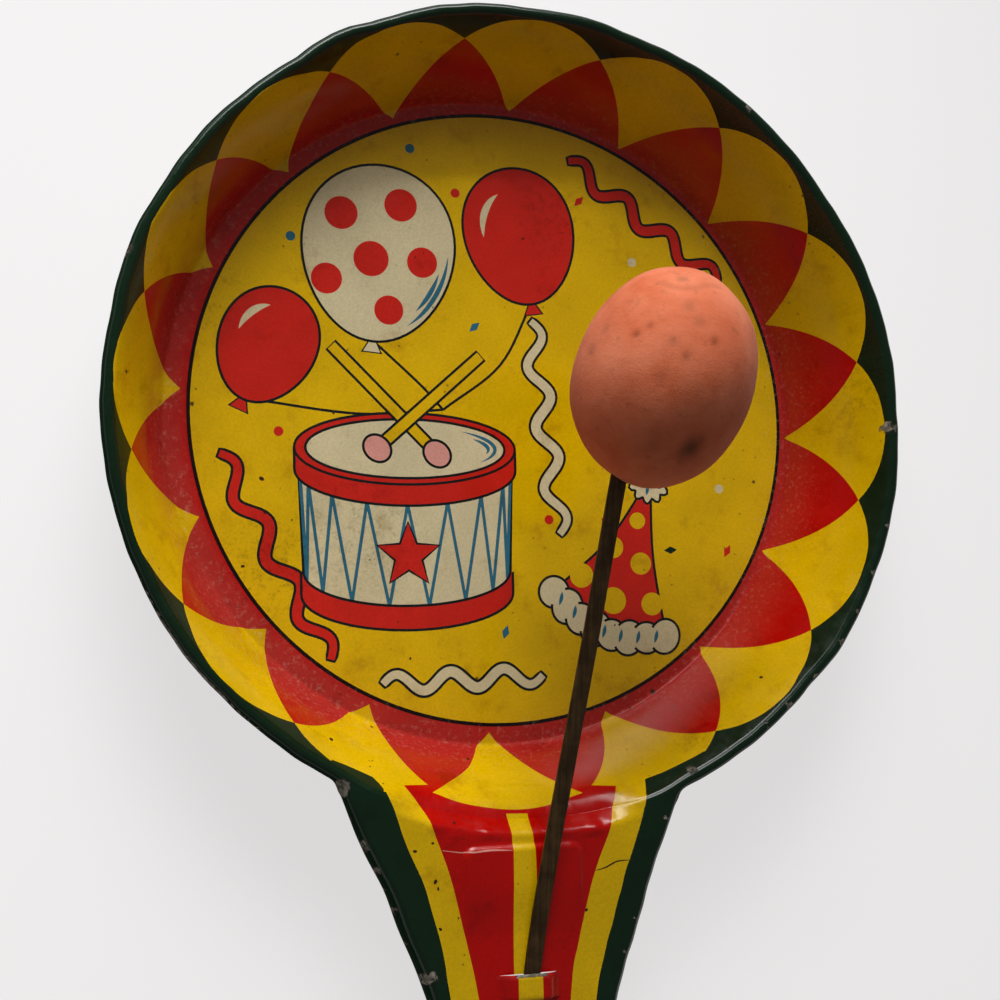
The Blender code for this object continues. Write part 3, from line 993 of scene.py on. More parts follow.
    def add_streamers(self) -> None:
        """Adds the curled paper streamers that fall across the picture."""
        for start, end, waves, swing, ink in self.streamers:
            span = np.subtract(end, start)
            along = span / np.linalg.norm(span)
            across = np.array([-along[1], along[0]])
            t = np.linspace(0, 1, int(waves * 26))[:, None]
            line = start + span * t + across * swing * np.sin(2 * math.pi * waves * t)
            self.put(stroke(line, 1.3, 0.3), ink)

    def scatter(self) -> None:
        """Adds confetti where the picture has left room."""
        taken = [grown(p.loop, 1.1) for p in self.made]
        golden = math.pi * (3 - math.sqrt(5))
        choices = (Ink.SCARLET, Ink.TEAL, Ink.CREAM, Ink.SCARLET, Ink.GREEN)
        for i in range(self.confetti):
            reach = (self.border.ring_radius - 2.6) * math.sqrt((i + 0.5) / self.confetti)
            place = reach * around(i * golden)
            if not any(within(place[None], loop)[0] for loop in taken):
                shape = (0.62, 0.62, 0.0, 18) if i % 3 else (0.95, 0.5, i * 37.0, 4)
                self.put(ellipse(place, *shape), choices[i % 5], drawn=False)

    def patches(self) -> list[Patch]:
        """Every area of the picture in plan, in the order that the inks are laid down.

        Returns:
            The patches.
        """
        self.add_streamers()
        self.add_balloons()
        self.add_drum()
        self.add_hat()
        self.scatter()
        return [Patch(p.loop + self.border.centre, p.ink) for p in self.made]


@dataclass(frozen=True)
class Spot:
    """A place on the sheet that use has worn or soiled, in plan millimetres."""

    x: float
    y: float
    radius: float
    strength: float

    def at(self, points: Array) -> Array:
        """Strength of the spot at points, fading to zero at its radius."""
        away = np.hypot(points[:, 0] - self.x, points[:, 1] - self.y)
        return self.strength * (1 - smoothstep(0.35, 1.0, away / self.radius))


@dataclass
class MeshDraft:
    """Corners, faces and surface facts of a mesh that is being put together, in millimetres."""

    points: list[Array] = field(default_factory=list)
    normals: list[Array] = field(default_factory=list)
    facts: dict[str, list[Array]] = field(default_factory=dict)
    faces: list[tuple[Array, int, Array | None, bool]] = field(default_factory=list)
    count: int = 0

    def add_points(self, points: Array, normals: Array, **facts: Array) -> Array:
        """Adds corners.

        Args:
            points: Their places.
            normals: The surface's unit normals there.
            **facts: Named numbers for each corner, which the finish reads.

        Returns:
            The corners' numbers in the mesh.
        """
        self.points.append(points)
        self.normals.append(normals)
        for name, values in facts.items():
            self.facts.setdefault(name, []).append(values)
        numbers = np.arange(self.count, self.count + len(points))
        self.count += len(points)
        return numbers

    def add_sheet(self, middle: Array, normals: Array, half: float, **facts: Array) -> tuple[Array, Array]:
        """Adds the corners of both faces of a sheet.

        Args:
            middle: Places on its middle surface.
            normals: The upper face's unit normals there.
            half: Half its thickness.
            **facts: Named numbers for each corner, which the finish reads.

        Returns:
            The corners' numbers on the upper face and on the lower one.
        """
        top = self.add_points(middle + normals * half, normals, **facts)
        return top, self.add_points(middle - normals * half, -normals, **facts)

    def add_faces(
        self, corners: Array, slot: int = 0, colours: Array | None = None, flat: bool = False
    ) -> None:
        """Adds faces of one finish, with a colour for each face or for each of its corners."""
        self.faces.append((corners, slot, colours, flat))

    def add_bands(
        self,
        rows: Sequence[Array],
        closed: bool,
        slot: int = 0,
        colour: Array | None = None,
        flat: bool = False,
    ) -> None:
        """Joins rows of corners with four-cornered faces.

        Args:
            rows: Rows of corner numbers of the same length.
            closed: Whether each row meets its own start.
            slot: The finish.
            colour: One colour for all the faces.
            flat: Whether the faces keep their own normals.
        """
        for a, b in zip(rows, rows[1:]):
            ahead_a, ahead_b = (np.roll(a, -1), np.roll(b, -1)) if closed else (a[1:], b[1:])
            here_a, here_b = (a, b) if closed else (a[:-1], b[:-1])
            quads = np.stack([here_a, ahead_a, ahead_b, here_b], 1)
            colours = None if colour is None else np.tile(colour, (len(quads), 1))
            self.add_faces(quads, slot, colours, flat)

    def build(
        self, name: str, finishes: Sequence[bpy.types.Material], warp: Callable[[Array], Array] | None = None
    ) -> bpy.types.Object:
        """Makes the object.

        Args:
            name: The piece's name.
            finishes: Its materials by slot.
            warp: A last movement of the corners.

        Returns:
            The object, in metres.
        """
        points, normals = np.vstack(self.points), np.vstack(self.normals)
        placed = warp(points) if warp else points
        corners: list[list[int]] = []
        slots, colours, shades = [], [], []
        for faces, slot, tint, flat in self.faces:
            corners += faces.tolist()
            slots.append(np.full(len(faces), slot))
            size = faces.shape[1]
            given = np.ones((len(faces), 4)) if tint is None else tint
            colours.append(given.reshape(-1, 4) if given.ndim == 3 else np.repeat(given, size, 0))
            if flat:
                a, b, c = (placed[faces[:, i]] for i in (0, 1, 2))
                own = np.cross(b - a, c - a)
                own /= np.maximum(np.linalg.norm(own, axis=1, keepdims=True), 1e-12)
                shades.append(np.repeat(own, size, 0))
            else:
                shades.append(normals[faces.reshape(-1)])
        mesh = bpy.data.meshes.new(name)
        mesh.from_pydata((placed * MM).tolist(), [], corners)
        mesh.polygons.foreach_set("material_index", np.concatenate(slots))
        mesh.polygons.foreach_set("use_smooth", np.ones(len(corners), bool))
        place = mesh.attributes.new("place", "FLOAT_VECTOR", "POINT")
        place.data.foreach_set("vector", points.reshape(-1).astype(np.float32))
        for fact, values in self.facts.items():
            made = mesh.attributes.new(fact, "FLOAT", "POINT")
            made.data.foreach_set("value", np.concatenate(values).astype(np.float32))
        ink = mesh.color_attributes.new("ink", "FLOAT_COLOR", "CORNER")
        ink.data.foreach_set("color", np.vstack(colours).reshape(-1).astype(np.float32))
        mesh.normals_split_custom_set(np.vstack(shades).tolist())
        for finish in finishes:
            mesh.materials.append(finish)
        made = bpy.data.objects.new(name, mesh)
        bpy.context.scene.collection.objects.link(made)
        return made


@dataclass(frozen=True)
class LithographedTinplate:
    """Printed enamel on tinplate under varnish: glossy flat colour, worn through to grey tin at its edges."""

    name: str = "lithographed enamel on tinplate"
    tin: str = "#6F695E"
    tin_bright: str = "#A39C8C"
    rust: str = "#2B1A10"
    # Colour of the pale specks in the painted sheen.
    pale_speck: str = "#D8B8A0"
    stain: str = "#C2A878"
    smear: str = "#7A7A55"
    roughness: float = 0.17
    gloss: float = 0.36
    bare_metallic: float = 0.35
    rubbed_roughness: float = 0.6
    wobble: float = 0.35
    wall_foot: Pair = (41.0, 43.5)
    wall_top: Pair = (49.0, 51.0)
    ripples_round: float = 46.0
    ripples_out: float = 0.12
    ripple_height: float = 0.035
    peel_height: float = 0.004
    chip_depth: float = 0.02

    def build(self) -> bpy.types.Material:
        """Makes the material from the mesh's inks, with stains, specks, chips and the wall's fine ripples.

        Returns:
            The node material.
        """
        material, add, place = start_finish(self.name)
        ink = add("Attribute", out="Color", attribute_name="ink")
        wear, soil, scuff, rub = (
            add("Attribute", out="Fac", attribute_name=name) for name in ("wear", "soil", "scuff", "rub")
        )
        # Cloudy patterns: grain in millimetres, detail, roughness, and the ends that they run from and to.
        cloud = {}
        for key, (grain, detail, rough, *ends) in {
            "mottle": (9.0, 3.0, 0.5, 0.3, 0.7, 0.92, 1.05),
            "grain": (0.3, 2.0, 0.5, 0.3, 0.7, 0.93, 1.05),
            "blotch": (5.5, 6.0, 0.68, 0.52, 0.74, 0.0, 0.5),
            "smudge": (0.9, 9.0, 0.8, 0.48, 0.64, 0.0, 0.5),
            "cluster": (6.0, 2.0, 0.5, 0.5, 0.66, 0.0, 1.0),
            "fine": (0.6, 3.0, 0.6, 0.5, 0.8, 0.0, 0.25),
            "spangle": (0.6, 5.0, 0.5, 0.46, 0.66, 0.0, 1.0),
            "haze": (2.2, 5.0, 0.6, 0.3, 0.7, self.roughness - 0.05, self.roughness + 0.1),
        }.items():
            inputs = {"Vector": place, "Scale": 1 / grain, "Detail": detail, "Roughness": rough}
            noise = add("TexNoise", inputs)
            cloud[key] = add("MapRange", (noise, *ends), interpolation_type="SMOOTHSTEP")
        # Round marks: how far apart, the radii that their edge fades between, and how dense.
        wobble = add("TexNoise", {"Vector": place, "Scale": 1 / 0.5, "Detail": 2.0}, "Color")
        uneven = add("VectorMath", (wobble, (self.wobble,) * 3, place), operation="MULTIPLY_ADD")
        mark = {}
        for key, (apart, inner, outer, dense) in {
            "freckle": (1.3, 0.07, 0.19, 0.8),
            "pit": (6.5, 0.14, 0.34, 0.9),
            "speck": (2.4, 0.05, 0.12, 0.35),
        }.items():
            cells = add("TexVoronoi", {"Vector": uneven, "Scale": 1 / apart, "Randomness": 1.0})
            ends = (inner / apart, outer / apart, dense, 0.0)
            mark[key] = add("MapRange", (cells, *ends), interpolation_type="SMOOTHSTEP")
        flaking = add("TexNoise", {"Vector": place, "Scale": 1 / 0.9, "Detail": 7.0, "Roughness": 0.7})
        bare = add("Math", (add("Math", (flaking, 0.9), operation="MULTIPLY"), wear))
        halo = add("MapRange", (bare, 0.87, 0.97, 0.0, 0.75), interpolation_type="SMOOTHSTEP")
        chip = add("MapRange", (bare, 0.97, 1.0, 0.0, 1.0), interpolation_type="SMOOTHSTEP")
        fine = add("Math", (cloud["fine"], mark["speck"]), operation="MAXIMUM")
        shade = add("Math", (cloud["mottle"], cloud["grain"]), operation="MULTIPLY")
        colour = add("VectorMath", {0: ink, "Scale": shade}, operation="SCALE")
        for share, coat, how in (
            (cloud["blotch"], self.stain, "MULTIPLY"),
            (add("Math", (cloud["smudge"], soil), operation="MULTIPLY"), self.smear, "MULTIPLY"),
            (add("Math", (mark["freckle"], cloud["cluster"]), operation="MULTIPLY"), self.rust, "MIX"),
            (mark["pit"], self.rust, "MIX"),
            # Pale specks, laid only where the painted sheen is.
            (add("Math", (fine, scuff), operation="MULTIPLY"), self.pale_speck, "MIX"),
            (halo, self.rust, "MIX"),
        ):
            mix = {0: share, 6: colour, 7: linear(coat)}
            colour = add("Mix", mix, 2, data_type="RGBA", blend_type=how)
        tin = {0: cloud["spangle"], 6: linear(self.tin), 7: linear(self.tin_bright)}
        worn = {0: chip, 6: colour, 7: add("Mix", tin, 2, data_type="RGBA")}
        rubbed = add("Math", (rub, halo), operation="MAXIMUM")
        rubbed = add("Math", (rubbed, self.rubbed_roughness), operation="MULTIPLY")
        # The drawn wall's ripples run up it, so their noise is laid by the turn round the pan.
        x = add("SeparateXYZ", (place,))
        turn = add("Math", (x.node.outputs[1], x), operation="ARCTAN2")
        turn = add("Math", (turn, self.ripples_round), operation="MULTIPLY")
        level = add("VectorMath", (place, (1.0, 1.0, 0.0)), operation="MULTIPLY")
        reach = add("VectorMath", (level,), "Value", operation="LENGTH")
        out = add("Math", (reach, self.ripples_out), operation="MULTIPLY")
        polar = add("CombineXYZ", (turn, out))
        drawn = add("TexNoise", {"Vector": polar, "Scale": 1.0, "Detail": 3.0, "Roughness": 0.55})
        foot = add("MapRange", (reach, *self.wall_foot, 0.0, 1.0), interpolation_type="SMOOTHSTEP")
        top = add("MapRange", (reach, *self.wall_top, 1.0, 0.0), interpolation_type="SMOOTHSTEP")
        on_wall = add("Math", (foot, top), operation="MULTIPLY")
        ripple = add("Math", (drawn, on_wall), operation="MULTIPLY")
        peel = add("TexNoise", {"Vector": place, "Scale": 1 / 1.3, "Detail": 3.0, "Roughness": 0.5})
        layers = ((ripple, self.ripple_height), (peel, self.peel_height), (chip, -self.chip_depth))
        relief = 0.0
        for pattern, high in layers:
            relief = add("Math", (pattern, high, relief), operation="MULTIPLY_ADD")
        return end_finish(material, {
            "Base Color": add("Mix", worn, 2, data_type="RGBA"),
            "Metallic": add("Math", (chip, self.bare_metallic), operation="MULTIPLY"),
            "Specular IOR Level": self.gloss,
            "Roughness": add("Math", (cloud["haze"], rubbed)),
            "Normal": add("Bump", {"Height": relief, "Strength": 1.0, "Distance": MM}),
        })


@dataclass(frozen=True)
class RolledTinplate:
    """Unprinted tinplate, cold rolled and tarnished: soft grey metal, streaked, with rust freckles."""

    name: str = "rolled tinplate, tarnished"
    tin: str = "#9A968D"
    dull: str = "#6F695F"
    rust: str = "#4A2C1A"
    rolling: Triple = (2.2, 0.12, 1.0)

    def build(self) -> bpy.types.Material:
        """Makes the material from streaks along the sheet's rolling direction and freckles of rust.

        Returns:
            The node material.
        """
        material, add, place = start_finish(self.name)
        rolled = add("VectorMath", (place, self.rolling), operation="MULTIPLY")
        streak = add("TexNoise", {"Vector": rolled, "Scale": 0.8, "Detail": 5.0})
        cloud = add("TexNoise", {"Vector": place, "Scale": 1 / 11.0, "Detail": 6.0, "Roughness": 0.65})
        freckle = add("TexNoise", {"Vector": place, "Scale": 1 / 1.6, "Detail": 7.0, "Roughness": 0.7})
        both = add("Math", (streak, cloud), operation="MULTIPLY")
        rusty = add("MapRange", (freckle, 0.60, 0.70, 0.0, 0.85))
        metal = {0: add("MapRange", (both, 0.16, 0.34, 0.0, 1.0)), 6: linear(self.dull), 7: linear(self.tin)}
        freckled = {0: rusty, 6: add("Mix", metal, 2, data_type="RGBA"), 7: linear(self.rust)}
        return end_finish(material, {
            "Base Color": add("Mix", freckled, 2, data_type="RGBA"),
            "Metallic": add("Math", (1.0, rusty), operation="SUBTRACT"),
            "Roughness": add("MapRange", (streak, 0.3, 0.7, 0.34, 0.52)),
            "Normal": add("Bump", {"Height": streak, "Strength": 0.4, "Distance": 0.01 * MM}),
        })


@dataclass(frozen=True)
class BrownedSpringSteel:
    """Spring steel strip, browned with age: dark and half matt, with fine streaks along the strip."""

    name: str = "spring steel strip, browned"
    brown: str = "#3A2711"
    light: str = "#5C4424"
    metallic: float = 0.55
    roughness: float = 0.5
    drawing: Triple = (3.0, 0.10, 0.5)

    def build(self) -> bpy.types.Material:
        """Makes the material from streaks along the strip and patches of lighter brown.

        Returns:
            The node material.
        """
        material, add, place = start_finish(self.name)
        drawn = add("VectorMath", (place, self.drawing), operation="MULTIPLY")
        streak = add("TexNoise", {"Vector": drawn, "Scale": 1.0, "Detail": 6.0})
        patch = add("TexNoise", {"Vector": place, "Scale": 1 / 2.5, "Detail": 6.0, "Roughness": 0.7})
        both = add("Math", (streak, patch), operation="MULTIPLY")
        lighter = add("MapRange", (both, 0.18, 0.38, 0.0, 1.0))
        steel = {0: lighter, 6: linear(self.brown), 7: linear(self.light)}
        return end_finish(material, {
            "Base Color": add("Mix", steel, 2, data_type="RGBA"),
            "Metallic": self.metallic,
            "Roughness": add("MapRange", (patch, 0.3, 0.7, self.roughness - 0.08, self.roughness + 0.14)),
            "Normal": add("Bump", {"Height": both, "Strength": 0.6, "Distance": 0.03 * MM}),
        })


@dataclass(frozen=True)
class PaintedPulp:
    """Pressed paper pulp under thin matt paint: a soft peach skin with pores, pits and a darker flush."""

    name: str = "pressed paper pulp, matt painted"
    coral: str = "#E6845F"
    flush: str = "#D2663E"
    # Colour of the painted shade on the side of the ball turned from the lamp.
    grime_and_shade: str = "#B0461F"
    pore: str = "#4A2A16"
    roughness: float = 0.9
    gloss: float = 0.25
    sheen: float = 0.06
    sheen_roughness: float = 0.5

    def build(self) -> bpy.types.Material:
        """Makes the material from broad colour clouds, painted shade, pores and the nap of the pulp.

        Returns:
            The node material.
        """
        material, add, place = start_finish(self.name)
        pit, soil = (add("Attribute", out="Fac", attribute_name=name) for name in ("pit", "soil"))
        cloud = add("TexNoise", {"Vector": place, "Scale": 1 / 7.0, "Detail": 4.0, "Roughness": 0.6})
        spots = add("TexNoise", {"Vector": place, "Scale": 1 / 1.3, "Detail": 5.0, "Roughness": 0.65})
        colour = linear(self.coral)
        # Coats: a darker flush, the painted shade, dark pores, then the pits, whose share along the crease is
        # painted shade.
        for share, coat in (
            (add("MapRange", (cloud, 0.35, 0.68, 0.0, 1.0)), self.flush),
            (soil, self.grime_and_shade),
            (add("MapRange", (spots, 0.56, 0.74, 0.0, 0.25)), self.pore),
            (pit, self.pore),
        ):
            colour = add("Mix", {0: share, 6: colour, 7: linear(coat)}, 2, data_type="RGBA")
        # The fibres of real pulp are finer than this nap, which is as coarse as it needs to be to show.
        nap = add("TexNoise", {"Vector": place, "Scale": 1 / 0.25, "Detail": 4.0, "Roughness": 0.7})
        soft = add("TexNoise", {"Vector": place, "Scale": 1 / 1.1, "Detail": 3.0, "Roughness": 0.6})
        relief = add("Math", (nap, soft))
        return end_finish(material, {
            "Base Color": colour,
            "Roughness": self.roughness,
            "Specular IOR Level": self.gloss,
            "Sheen Weight": self.sheen,
            "Sheen Roughness": self.sheen_roughness,
            "Normal": add("Bump", {"Height": relief, "Strength": 0.7, "Distance": 0.09 * MM}),
        })


@dataclass(frozen=True)
class Strap:
    """The strap struck up from the handle over the spring, in millimetres."""

    form: PressedForm
    x: float = -1.0
    distance: float = 17.8
    length: float = 2.8
    span: float = 7.8
    shoulder: float = 2.0
    gap: float = 0.02
    lift: float = 1.3
    lip: float = 0.55
    lip_drop: float = 0.16
    inner_columns: tuple[float, ...] = (-1.65, -0.8, 0.0, 0.7, 1.35)

    @property
    def y(self) -> float:
        """Y of the strap's middle."""
        return -(self.form.rim_foot + self.distance)

    def columns(self) -> Array:
        """X places across the strap, closer at its shoulders."""
        half = self.span / 2
        left = np.linspace(-half, self.shoulder - half, 9)
        return self.x + np.concatenate([left, self.inner_columns, -left[::-1]])

    def rows(self) -> Array:
        """Y places along the strap's width, closer at its rounded lips.

        Returns:
            The places, from the lower lip to the upper one.
        """
        half = self.length / 2
        inner = half - self.lip
        ends = half - self.lip * (1 - np.sin(np.linspace(0, math.pi / 2, 6)))
        return self.y + np.concatenate([-ends[::-1], np.linspace(-inner, inner, 5)[1:-1], ends])

    def height(self, x: Array, y: Array) -> Array:
        """Height of the strap's middle surface.

        Args:
            x: Places across the plan.
            y: Places along the plan.

        Returns:
            Heights in millimetres.
        """
        into = (self.span / 2 - np.abs(x - self.x)) / self.shoulder
        rise = smoothstep(0.0, 1.0, into)
        beyond = np.clip((np.abs(y - self.y) - (self.length / 2 - self.lip)) / self.lip, 0, 0.999)
        return self.form.level + rise * (self.lift - self.lip_drop * (1 - np.sqrt(1 - beyond**2)))

    def opening(self) -> Array:
        """Closed plan loop of the hole that the strap was struck from.

        Returns:
            The points, one row each.
        """
        columns, rows = self.columns(), self.rows()
        half = self.length / 2 + self.gap
        low = np.stack([columns, np.full_like(columns, self.y - half)], 1)
        right = np.stack([np.full_like(rows, columns[-1]), rows], 1)
        high = np.stack([columns[::-1], np.full_like(columns, self.y + half)], 1)
        left = np.stack([np.full_like(rows, columns[0]), rows[::-1]], 1)
        return np.vstack([low, right, high, left])


@dataclass
class TinPan:
    """The pan and its handle: one printed sheet, pressed, with its strap and its worn edges."""

    form: PressedForm
    border: PetalBorder
    stripes: HandlePrint
    picture: PartyPrint
    strap: Strap
    roll_steps: int = 10
    gloss_steps: int = 4
    # Where the painted sheen lies round the crease: its turn and spread in degrees, width, fade, least share
    # and widening.
    painted_sheen_turn: float = 215.0
    painted_sheen_spread: float = 45.0
    painted_sheen_width: float = 2.1
    painted_sheen_fade: Pair = (-4.0, -2.0)
    painted_sheen_least: float = 0.55
    painted_sheen_wider: float = 0.9
    floor_step: float = 1.9
    handle_step: float = 1.5
    bead_step: float = 0.42
    root_step: float = 0.4
    merge_distance: float = 1e-5
    worn_turns: Rows = ((-42, 24), (-142, 20))
    dents: Rows = (
        (0, 0.29), (8, 0.0), (18, 0.0), (28, 0.07), (34, 0.34), (40, 0.16), (54, 0.0), (62, 0.0),
        (70, 0.28), (74, 0.29), (80, 0.0), (87, 0.30), (97, 0.0), (102, 0.0), (112, 0.38), (115, 0.0),
        (118, 0.01), (124, 0.62), (130, 0.60), (140, 0.33), (150, 0.37), (158, 0.0), (170, 0.28),
        (180, 0.0), (214, 0.0), (220, 0.22), (228, 0.45), (312, 0.52), (316, 0.60), (322, 0.08),
        (326, 0.0), (334, 0.11), (340, 0.0), (350, 0.0),
    )
    spots: Rows = (
        (-22.9, -45.4, 1.9, 0.60), (-21.6, -49.0, 0.9, 0.56), (-20.5, -52.0, 1.5, 0.64),
        (-19.2, -54.9, 1.4, 0.64), (-18.4, -57.4, 0.9, 0.60), (-17.1, -59.6, 1.0, 0.60),
        (-15.6, -60.0, 0.5, 0.60), (-15.6, -63.5, 0.8, 0.56), (-13.6, -67.2, 1.7, 0.62),
        (-13.1, -71.0, 2.0, 0.58), (17.0, -50.7, 0.8, 0.56), (14.9, -55.7, 0.6, 0.56),
        (12.5, -62.2, 0.8, 0.60), (11.1, -66.0, 1.0, 0.60), (8.7, -69.2, 0.5, 0.60),
        (21.0, -45.5, 1.3, 0.56), (28.8, -41.0, 0.9, 0.52), (50.6, -2.2, 1.7, 0.60),
        (31.8, 39.2, 0.9, 0.60), (40.8, 33.2, 0.7, 0.60), (-47.0, 16.8, 2.0, 0.52),
        (49.3, -15.0, 0.8, 0.58), (47.2, -21.3, 1.2, 0.62), (44.4, -26.2, 0.9, 0.60),
        (42.0, -30.0, 1.1, 0.62), (38.3, -34.4, 0.8, 0.60), (34.4, -38.0, 1.1, 0.60),
        (31.3, -40.4, 0.8, 0.58),
    )
    grime_and_shade: Rows = (
        (-29.0, -19.0, 9.0, 0.9), (-18.0, -15.0, 12.0, 0.7), (-36.0, 14.0, 7.0, 0.7),
        (47.0, 3.0, 6.0, 0.6), (24.0, -41.5, 4.0, 0.8), (9.0, 27.0, 7.0, 0.7),
    )

    def patches(self) -> list[Patch]:
        """Every drawn area of ink in plan."""
        return self.stripes.patches() + self.picture.patches() + self.stripes.flaws()

    def inks(self, points: Array, patches: Sequence[Patch]) -> Array:
        """The print's inks at plan points.

        Args:
            points: Plan points, one row each.
            patches: The drawn areas of ink.

        Returns:
            An array of Ink members.
        """
        found = self.border.inks(points)
        beside = self.border.hits(points) == 0
        for patch in patches:
            covered = within(points, patch.loop)
            found[covered & beside if patch.beside_border else covered] = patch.ink
        return found

    def painted_sheen_at(self, points: Array) -> Array:
        """Painted sheen that turns the red crimson, most round the crease and on the lower left.

        Args:
            points: Plan points, one row each.

        Returns:
            A share for each point.
        """
        angle = np.degrees(np.arctan2(points[:, 1], points[:, 0]))
        lower_left = np.exp(-((((angle - self.painted_sheen_turn + 180) % 360 - 180) / self.painted_sheen_spread) ** 2))
        width = self.painted_sheen_width * (1 + self.painted_sheen_wider * lower_left)
        reach = self.form.reach(points[:, 0], points[:, 1])
        near = np.exp(-(np.maximum(reach, 0.0) / width) ** 2) * smoothstep(*self.painted_sheen_fade, reach)
        return near * (self.painted_sheen_least + (1 - self.painted_sheen_least) * lower_left)

    def colours(self, points: Array, corners: Array, patches: Sequence[Patch]) -> Array:
        """Linear colours of the print, with painted sheen blended into its red.

        Args:
            points: Plan points of the faces' corners.
            corners: Corner numbers, one row for each face.
            patches: The drawn areas of ink.

        Returns:
            A colour for each corner of each face.
        """
        found = self.inks(points[corners].mean(1), patches)
        table = {ink: np.array(linear(ink.value)) for ink in Ink}
        flat = np.array([table[ink] for ink in found])
        # Painted sheen: near the crease the red is blended towards crimson.
        share = self.painted_sheen_at(points)[corners] * (found == Ink.RED)[:, None]
        return flat[:, None] * (1 - share[..., None]) + table[Ink.CRIMSON] * share[..., None]

    def grid(self, edge: Array) -> Array:
        """Loose plan points that keep the sheet's faces small where it is not quite flat.

        Args:
            edge: The loop inside the turned-down edge.

        Returns:
            The points, one row each.
        """
        floor = lattice((-42, -42), (42, 42), self.floor_step)
        floor = floor[np.hypot(floor[:, 0], floor[:, 1]) < 40.9]
        handle = lattice((-26, -135), (26, -46), self.handle_step)
        bead_y = self.form.bead_middle
        bead = lattice((-10, bead_y - 6.5), (8.2, -52.9), self.bead_step)
        root = lattice((-16, -52.9), (14.5, -46.4), self.root_step)
        near_bead = (np.abs(handle[:, 0] + 0.9) < 9.6) & (np.abs(handle[:, 1] - bead_y) < 7)
        near_root = (handle[:, 0] > -16.5) & (handle[:, 0] < 15) & (handle[:, 1] > -53.3)
        handle = handle[(self.form.beyond_rim(handle) > -0.4) & ~near_bead & ~near_root]
        handle = handle[within(handle, grown(edge, -0.5))]
        return np.vstack([floor, handle, bead, root])

    def plan(
        self, edge: Array, holes: Sequence[Array], patches: Sequence[Patch]
    ) -> tuple[Array, Array, Array]:
        """Meshes the sheet's plan.

        Args:
            edge: The loop inside the turned-down edge.
            holes: Loops that are cut away.
            patches: Areas of ink whose edges the mesh follows.

        Returns:
            The plan points, the triangles, and the numbers of the edge's points.
        """
        form = self.form
        crease = np.linspace(-1.2, 1.2, 7) * form.floor_bend
        wall = np.linspace(1.3, form.wall_run - form.ridge_bend, 9)
        ridge = form.wall_run + np.linspace(-0.75, 1.0, 5) * form.ridge_bend
        rings = [form.wall_ring(reach) for reach in (*crease, *wall, *ridge)]
        loops = [edge, *holes, *rings, *self.border.rings(), *(p.loop for p in patches)]
        lines = self.border.lines()
        edges: list[tuple[int, int]] = []
        count = 0
        for i, line in enumerate(loops + lines):
            numbers = list(range(count, count + len(line)))
            ahead = numbers[1:] + numbers[:1] if i < len(loops) else numbers[1:]
            edges += zip(numbers, ahead)
            count += len(line)
        flat = [Vector(p) for p in np.vstack([*loops, *lines, self.grid(edge)]).tolist()]
        found, _, faces, sources, _, _ = delaunay_2d_cdt(flat, edges, [], 1, self.merge_distance)
        place = np.array([(p.x, p.y) for p in found])
        triangles = np.array([f for f in faces if len(f) == 3])
        middles = place[triangles].mean(1)
        keep = within(middles, edge)
        for hole in holes:
            keep &= ~within(middles, hole)
        owner = {source: i for i, listed in enumerate(sources) for source in listed}
        border = np.array([owner[i] for i in range(len(edge))])
        triangles = triangles[keep]
        a, b, c = (place[triangles[:, i]] for i in range(3))
        turned = (b[:, 0] - a[:, 0]) * (c[:, 1] - a[:, 1]) - (b[:, 1] - a[:, 1]) * (c[:, 0] - a[:, 0]) < 0
        triangles[turned] = triangles[turned][:, ::-1]
        return place, triangles, border

    def wear_at(self, points: Array, edge_share: Array) -> Array:
        """How worn the enamel is.

        Args:
            points: The points, one row each.
            edge_share: How far over the turned-down edge each one is, from zero to one.

        Returns:
            The wear, from zero to about one.
        """
        angle = np.degrees(np.arctan2(points[:, 1], points[:, 0]))
        on_rim = self.form.beyond_rim(points) < 0.2
        lower_right, lower_left = (
            np.exp(-(((angle - turn) / spread) ** 2)) * on_rim for turn, spread in self.worn_turns
        )
        worn = (0.26 + 0.34 * lower_right) * smoothstep(0.2, 0.7, edge_share)
        worn = np.maximum(worn, 0.66 * lower_left * smoothstep(0.4, 0.55, edge_share))
        for row in self.spots:
            worn = np.maximum(worn, Spot(*row).at(points))
        return worn

    def soil_at(self, points: Array) -> Array:
        """How much dirt has settled at points, most of it in the foot of the wall.

        Args:
            points: The points, one row each.

        Returns:
            The dirt, from zero to one.
        """
        reach = self.form.reach(points[:, 0], points[:, 1])
        soil = 0.35 * np.exp(-((reach / 0.9) ** 2)) + 0.06
        for row in self.grime_and_shade:
            soil = np.maximum(soil, Spot(*row).at(points))
        return soil

